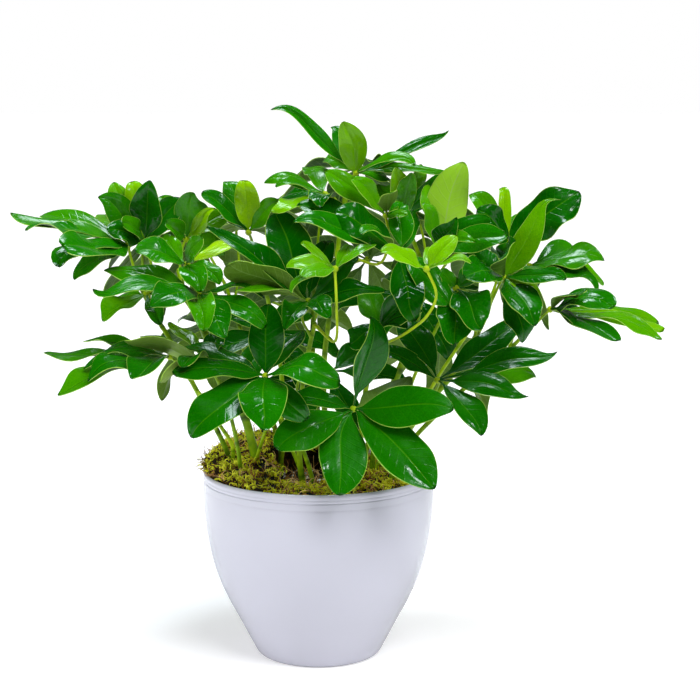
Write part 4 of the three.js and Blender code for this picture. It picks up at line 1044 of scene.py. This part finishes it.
def moss_threads(name, material, count, seed, lengths, arcs, thickness, tones, rise):
    """Curly threads all over the moss, in tufts, with more of them at its outer side where it is high. Lower
    threads and those in dents are coloured darker: painted shade.
    """
    chance = np.random.default_rng(seed)
    tufts = chance.uniform(0, 1, (count // TUFT, 2))
    high = np.maximum(np.cos(2 * math.pi * tufts[:, 0] - MOSS_HIGH_SIDE), 0)
    outside = chance.uniform(0, 1, len(tufts)) < OUTER_TUFTS * high
    tufts[outside, 1] = chance.uniform(*OUTER_RANGE, outside.sum())
    total = len(tufts) * TUFT
    spread = np.repeat(tufts, TUFT, axis=0) + chance.normal(0, TUFT_SPREAD, (total, 2))
    angle = 2 * math.pi * spread[:, 0]
    inner, outer = MOSS_INNER - THREADS_INSIDE, SOIL_RADIUS - THREADS_FROM_WALL
    radius = np.sqrt(inner ** 2 + np.clip(spread[:, 1], 0, 1) * (outer ** 2 - inner ** 2))
    places = list(zip(angle, radius))
    rough = np.array([rough_height((r * math.cos(a), r * math.sin(a), 0), *MOSS_DENTS) for a, r in places])
    # How high each tuft sits in its layer; it also sets the tuft's colour, lower ones darker as painted shade
    lift_and_painted_shade = np.repeat(chance.beta(0.5, 0.6, len(tufts)), TUFT)
    top = np.array([moss_top(a, r) for a, r in places])
    height = top + rough - THREADS_SINK + THREADS_LAYER * (lift_and_painted_shade - 0.4)
    starts = np.column_stack([radius * np.cos(angle), radius * np.sin(angle), height])
    ways = chance.normal(0, 1, (total, 3)) + (0, 0, rise)
    radial = starts[:, :2] / radius[:, None]
    flank = radius > SOIL_RADIUS - FLANK
    drop = chance.uniform(0, 1, total) * np.maximum(height - RIM_HEIGHT, 0) * flank
    starts[:, 2] -= drop
    starts[:, :2] += radial * np.minimum(drop, SOIL_RADIUS - radius)[:, None]
    ways[flank, :2] += FLANK_OUTWARDS * radial[flank]
    turns = random_turns(chance, ways, arcs)
    # Painted shade: lower tufts and threads in the moss's dents get darker colour, higher ones brighter
    shares = 0.8 * lift_and_painted_shade + 0.2 * chance.uniform(0, 1, total) + 0.12 * (rough - rough.mean())
    shades = np.clip(tones[0] + (tones[1] - tones[0]) * shares, 0, 1)
    shape = Shape()
    curls(shape, starts, ways, turns, chance.uniform(*lengths, total), np.full(total, thickness), shades)
    make_piece(name, shape, [material], "moss")


def soil_fibres():
    """Dry fibres strewn on the bare soil in the middle"""
    chance = np.random.default_rng(41)
    count, reach, thickness = 260, 50, 0.4
    angle = chance.uniform(0, 2 * math.pi, count)
    radius = reach * np.sqrt(chance.uniform(0, 1, count))
    starts = np.column_stack([radius * np.cos(angle), radius * np.sin(angle), soil_top(radius) + 0.8])
    ways = chance.normal(0, 1, (count, 3)) * (1, 1, 0.35) + (0, 0, 0.2)
    turns = random_turns(chance, ways, (0.3, 2))
    lengths = chance.uniform(6, 16, count)
    shape = Shape()
    curls(shape, starts, ways, turns, lengths, np.full(count, thickness), chance.uniform(0.2, 1, count))
    make_piece("soil_fibres", shape, ["straw"], "soil")


def wisp():
    """A loose tuft that hangs out over the rim on the left"""
    chance = np.random.default_rng(31)
    count, radius, thickness = 70, 78, 0.4
    angle = math.pi + chance.normal(0.12, 0.07, count)
    height = chance.uniform(135.5, 141, count)
    starts = np.column_stack([radius * np.cos(angle), radius * np.sin(angle), height])
    ways = np.column_stack([np.cos(angle), np.sin(angle), chance.uniform(-0.1, 0.9, count)])
    ways += chance.normal(0, 0.3, (count, 3))
    turns = random_turns(chance, ways, (0.8, 2.6))
    lengths = chance.uniform(5, 13, count)
    tones = chance.uniform(0.15, 0.75, count)
    shape = Shape()
    curls(shape, starts, ways, turns, lengths, np.full(count, thickness), tones, free=True)
    make_piece("moss_wisp", shape, ["moss"], "moss")


# Stems

def stem_curve(name):
    return [laid_out(point) for point in STEMS[name]["path"]]


def add_cane(shape, cane, tone):
    """A green stem or shoot, with a wider and darker ring at each joint"""
    foot, top = cane["radii"]
    curve = [laid_out(point) for point in cane["path"]]
    shares = [k / CANE_STEPS for k in range(CANE_STEPS + 1)]
    points = [curve_point(curve, share) for share in shares]
    joint = JOINT_SPACING + JOINT_SPACING_OUTWARDS * abs(curve[0].x)
    length = sum((b - a).length for a, b in zip(points, points[1:]))
    radii, tones = [], []
    for share in shares:
        ring = max(0, math.cos(2 * math.pi * share * length / joint)) ** JOINT_SHARPNESS
        flare = CANE_FOOT["wider"] * max(0, CANE_FOOT["up_to"] - share)
        radii.append((foot + (top - foot) * share) * (0.97 + JOINT_WIDER * ring) + flare)
        tones.append(tone + 0.3 * noise.noise((share * 6, foot, curve[0].x)) - JOINT_DARKER * ring)
    radii[-1] *= CANE_TOP
    points, faces = tube(points, radii, CANE_SIDES)
    shape.add(points, faces, tones=np.repeat(tones, CANE_SIDES))


def stem(name):
    shape = Shape()
    add_cane(shape, STEMS[name], 0.5)
    for shoot in SHOOTS:
        if shoot["stem"] == name:
            add_cane(shape, shoot, 0.7)
    make_piece("fine_" + name, shape, ["stem"], "stem", name)


# Leaves

def turned(leaf, leaflet, lift, swing, length):
    """A leaflet's chord and the way it faces, after a small turn"""
    chord = leaflet["tip"] - leaf["hub"]
    along = chord.normalized()
    face = (leaf["face"] - along * leaf["face"].dot(along)).normalized()
    face.rotate(Quaternion(along, math.radians(leaflet["roll"])))
    side = along.cross(face)
    chord.rotate(Quaternion(side, math.radians(lift)))
    chord.rotate(Quaternion(face, math.radians(swing)))
    face.rotate(Quaternion(side, math.radians(lift)))
    return chord * length, face


def corners_of(node):
    """The corners of a solid in millimetres, to look up which are near a point"""
    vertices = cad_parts[node].data.vertices
    tree = kdtree.KDTree(len(vertices))
    for vertex in vertices:
        tree.insert(vertex.co / MM, vertex.index)
    tree.balance()
    return tree


def settled(leaf, leaflet, corners):
    """The turn that the solid's leaflet took: the one whose tip is a corner of the solid"""
    for length in LENGTHS:
        for lift, swing in TURNS:
            chord, face = turned(leaf, leaflet, lift, swing, length)
            if corners.find(leaf["hub"] + chord)[2] < MATCH:
                return chord, face
    return turned(leaf, leaflet, 0, 0, 1)


def stalk_start(curve, hub):
    lowest, highest = STALK_RANGE
    top = curve_point(curve, 1)
    height = hub.z - STALK_SLOPE * math.hypot(hub.x - top.x, hub.y - top.y) - STALK_DROP
    foot = curve_point(curve, lowest).z
    return lowest + (highest - lowest) * min(max((height - foot) / (top.z - foot), 0), 1)


def stalk_line(leaf, shift, bow):
    """A stalk's line from its stem to its leaf's hub, moved along the stem and bowed as asked"""
    curve = stem_curve(leaf["stem"])
    lowest, highest = STALK_WIDEST_RANGE
    start = min(max(stalk_start(curve, leaf["hub"]) + shift, lowest), highest)
    root = curve_point(curve, start)
    span = leaf["hub"] - root
    sideways = Vector((-span.y, span.x, 0)).normalized() * bow * STALK_BOW
    along = curve_way(curve, start) * STALK_RISE * span.length
    bends = [root + span * 0.3 + along + sideways, root + span * 0.7 + along * 0.9 + sideways * 0.6]
    drawn = [laid_out(point) for point in reversed(leaf.get("by", []))]
    return [root, *(drawn or bends), leaf["hub"]]


def settled_stalk(leaf, corners):
    """The line that the solid's stalk took: the one with a ring of corners round its second point"""
    steps = 4 + len(leaf.get("by", []))
    for shift, bow in STALK_TRIES:
        line = stalk_line(leaf, shift, bow)
        near = corners.find_range(curve_point(line, 2 / steps), STALK_RADIUS + MATCH)
        if len(near) >= 3 and min(found[2] for found in near) > STALK_RADIUS - MATCH:
            return line
    return stalk_line(leaf, 0, 0)


def outline(shares, start, widest, base, tip):
    """The blade's half width along its length, as a share of the widest"""
    before = np.clip((widest - shares) / (widest - start), 0, 1)
    after = np.clip((shares - widest) / (1 - widest), 0, 1)
    return (1 - before ** 2) ** base * (1 - after ** 2) ** tip


def manner_of(name, number, chance):
    """How one leaflet is shaped: drawn at random within the ranges, unless it is listed in SHAPES"""
    drawn = {key: chance.uniform(*span) for key, span in MANNERS.items()}
    for key in BENT:
        drawn[key] *= CALM.get(name, 1)
    return {**drawn, **SHAPES.get(name, {}).get(number, {})}


def blade_faces(rows, columns):
    """The faces of a blade from its upper grid, its lower grid and its tip, and a material for each"""
    count = rows * columns
    last, tip_at, right = (rows - 1) * columns, 2 * count, columns - 1
    tops = [face[::-1] for face in grid_faces(rows, columns)]
    tops += [[last + j, last + j + 1, tip_at] for j in range(right)]
    for i in range(rows - 1):
        a, b = i * columns, (i + 1) * columns
        tops.append([a, b, b + count, a + count])
        tops.append([a + right, a + right + count, b + right + count, b + right])
    tops += [[last, tip_at, count + last], [last + right, count + last + right, tip_at]]
    cap = list(range(right, -1, -1)) + list(range(count, count + columns))
    unders = [[i + count for i in face] for face in grid_faces(rows, columns)]
    unders += [[count + last + j, tip_at, count + last + j + 1] for j in range(right)]
    return tops + [cap] + unders, [0] * len(tops) + [2] + [1] * len(unders)


def add_blade(shape, base, chord, face, width, arch, tone, manner):
    """One leaflet: a short stalk that widens into a folded, waved blade, closed all round"""
    along = chord.normalized()
    normal = (face - along * face.dot(along)).normalized()
    side = along.cross(normal)
    length = chord.length
    width *= manner["wider"]
    chord, normal, side, base = (np.array(v) for v in (chord, normal, side, base))

    # Rows along the blade: how wide each is, and where its middle lies
    begins = manner["begins"]
    main_rows = np.linspace(begins, LAST_ROWS[0], ROWS - 4)
    t = np.concatenate([[-ROOT_DEPTH / length, begins * 0.5], main_rows, LAST_ROWS[1:]])
    s = np.array(ACROSS)
    whole = outline(t, begins - 0.02, manner["widest"], manner["base"], manner["tip"])
    half = whole * width / 2 + STALKLET_RADIUS * np.clip(1 - (t / 0.9), 0.15, 1)
    bow = 4 * t * (1 - t)
    late = np.clip(t, 0, 1) ** TIP_BEND_POWER * (1 - t) * TIP_BEND_SCALE
    rise = (arch + manner["extra_arch"] * length) * bow * (1 + manner["skew"] * (2 * t - 1))
    rise += manner["curl"] * length * late
    snake = manner["snake"] * np.sin(2 * math.pi * t)
    swing = length * (manner["sweep"] * bow * t + snake + manner["hook"] * late)
    centre = base + np.outer(t, chord) + np.outer(rise, normal) + np.outer(swing, side)

    # The way across and up at each row, after the twist
    way = np.gradient(centre, axis=0)
    way /= np.linalg.norm(way, axis=1)[:, None]
    twist = math.radians(manner["twist"]) * np.clip(t - TWIST_FROM, 0, 1) ** TWIST_POWER
    flat_side = side - way * (way @ side)[:, None]
    flat_side /= np.linalg.norm(flat_side, axis=1)[:, None]
    flat_up = np.cross(flat_side, way)
    across = flat_side * np.cos(twist)[:, None] + flat_up * np.sin(twist)[:, None]
    up = flat_up * np.cos(twist)[:, None] - flat_side * np.sin(twist)[:, None]

    # How high each point lies: the fold of the two halves, and the wave of each edge
    out = np.abs(s)
    lift = np.outer(whole * width / 2 * manner["fold"], out - manner["edge_turn"] * out ** EDGE_POWER)
    for sign, edge in ((-1, "left"), (1, "right")):
        turns = manner[edge + "_pace"] * t + manner[edge + "_phase"]
        wave = np.sin(2 * math.pi * turns) * whole * width * manner[edge + "_wave"]
        lift += np.outer(wave, np.where(s * sign > 0, out ** 2, 0))

    # The two sides, which are round at the short stalk and thin on the blade
    spread = s * (1 + manner["uneven"] * np.sign(s))
    bladed = np.clip((t - begins * 0.6) / BLADE_EASE, 0, 1)[:, None]
    round_off = STALKLET_RADIUS * np.sqrt(np.clip(1 - s ** 2, 0.02, 1))[None]
    groove = GROOVE_DEPTH * np.exp(-(s / GROOVE_WIDTH) ** 2)[None]
    rib = RIB_THICKNESS * np.exp(-(s / RIB_WIDTH) ** 2)[None] * (1.2 - t)[:, None]
    top = (1 - bladed) * round_off - bladed * groove
    under = -(1 - bladed) * round_off - bladed * (BLADE_THICKNESS + rib)
    flat = centre[:, None] + across[:, None] * (half[:, None] * spread[None])[:, :, None]
    uppers = flat + up[:, None] * (lift + top)[:, :, None]
    lowers = flat + up[:, None] * (lift + under)[:, :, None]
    faces, slots = blade_faces(len(t), len(s))
    grid = np.stack(np.meshgrid(np.clip(t, 0, 1), (s + 1) / 2, indexing="ij"), axis=-1).reshape(-1, 2)
    places = np.concatenate([grid, grid, [[1, 0.5]]])
    points = np.concatenate([uppers.reshape(-1, 3), lowers.reshape(-1, 3), [base + chord]])
    shape.add(points, faces, slots, tone, places)


def add_knob(shape, at, radius, tone):
    rings, sides = 6, 10
    angles = [math.pi * k / rings for k in range(1, rings)]
    arc = [(radius * math.sin(angle), -radius * math.cos(angle)) for angle in angles]
    points, faces = lathe([(0, -radius), *arc, (0, radius)], sides)
    shape.add(points + np.array(at), faces, 2, tone)


def fan(leaf):
    """Leaflets by rule: a fan round the way the leaf faces, drooping a little"""
    hub, face, size = Vector(leaf["at"]), Vector(leaf["faces"]).normalized(), leaf["size"]
    across = Vector((0, 0, 1)).cross(face).normalized()
    down = across.cross(face)
    width = size * BACK_WIDTH_SHARE
    for k in range(BACK_LEAFLETS):
        swing = BACK_UNEVEN_ANGLE["range"] * math.sin(BACK_UNEVEN_ANGLE["pace"] * k + hub.x)
        angle = ((k + 0.5) / BACK_LEAFLETS - 0.5) * BACK_SPREAD + swing
        longer = BACK_UNEVEN_LENGTH["range"] * math.sin(BACK_UNEVEN_LENGTH["pace"] * k + hub.z)
        length = size * (1 - BACK_SHORTER_ABOVE * (1 - math.cos(angle)) + longer)
        tip = hub + across * math.sin(angle) * length + down * math.cos(angle) * length * BACK_FLATTEN
        yield dict(tip=tip - face * BACK_DROOP * length, width=width, arch=BACK_ARCH, roll=0)


def all_leaves():
    """Each leaf with its hub, the way it faces and its leaflets in the frame of the solids"""
    for leaf in LEAVES:
        pieces = [dict(tip=laid_out(row[:3]), width=row[3], arch=row[4], roll=row[5])
                  for row in leaf["leaflets"]]
        face = Vector(leaf["faces"]).normalized()
        yield {**leaf, "hub": laid_out(leaf["hub"]), "face": face, "pieces": pieces}
    for leaf in BACK_LEAVES:
        face = Vector(leaf["faces"]).normalized()
        yield {**leaf, "hub": Vector(leaf["at"]), "face": face, "pieces": list(fan(leaf))}


def leaf_piece(leaf):
    chance = random.Random(leaf["name"])
    corners = corners_of(leaf["name"])
    young = leaf.get("young", False)
    base_tone = YOUNG_TONE if young else chance.uniform(*OLD_TONES)
    shape = Shape()
    line = settled_stalk(leaf, corners)
    points = [curve_point(line, k / STALK_STEPS) for k in range(STALK_STEPS + 1)]
    radii = [STALK_RADIUS * (0.85 + 0.5 * max(0, 1 - k / 3)) for k in range(STALK_STEPS + 1)]
    shape.add(*tube(points, radii, STALK_SIDES), 2, 0.9 if young else 0.45)
    add_knob(shape, leaf["hub"], KNOB_RADIUS, 0.7)
    for k, leaflet in enumerate(leaf["pieces"]):
        chord, face = settled(leaf, leaflet, corners)
        tone = TONES.get(leaf["name"], {}).get(k, base_tone + chance.uniform(*TONE_SPREAD))
        manner = manner_of(leaf["name"], k, chance)
        add_blade(shape, leaf["hub"], chord, face, leaflet["width"], leaflet["arch"], tone, manner)
    slot = "young_leaf" if young else "leaf"
    make_piece("fine_" + leaf["name"], shape, ["leaf_top", "leaf_under", "stalk"], slot, leaf["name"])


camera()
floor()
light()
pot()
soil()
chips("soil_crumbs", "soil", count=900, sizes=(0.6, 2.0), reach=62, seed=11, tones=(0.2, 1.0))
chips("perlite_bits", "perlite", count=160, sizes=(0.8, 2.0), reach=52, seed=12, tones=(0.4, 1.0))
soil_fibres()
moss()
moss_threads("moss_tufts", "moss", count=7400, seed=21, lengths=(3.5, 8), arcs=(2, 5),
             thickness=0.6, tones=(-0.1, 1.15), rise=1.0)
moss_threads("moss_curls", "moss", count=4800, seed=23, lengths=(3, 6.5), arcs=(2.5, 6),
             thickness=0.55, tones=(-0.1, 1.1), rise=0.7)
moss_threads("moss_fibres", "straw", count=1000, seed=22, lengths=(7, 16), arcs=(1, 3.4),
             thickness=0.42, tones=(0.0, 1.05), rise=0.1)
wisp()
for stem_name in STEMS:
    stem(stem_name)
for each in all_leaves():
    leaf_piece(each)
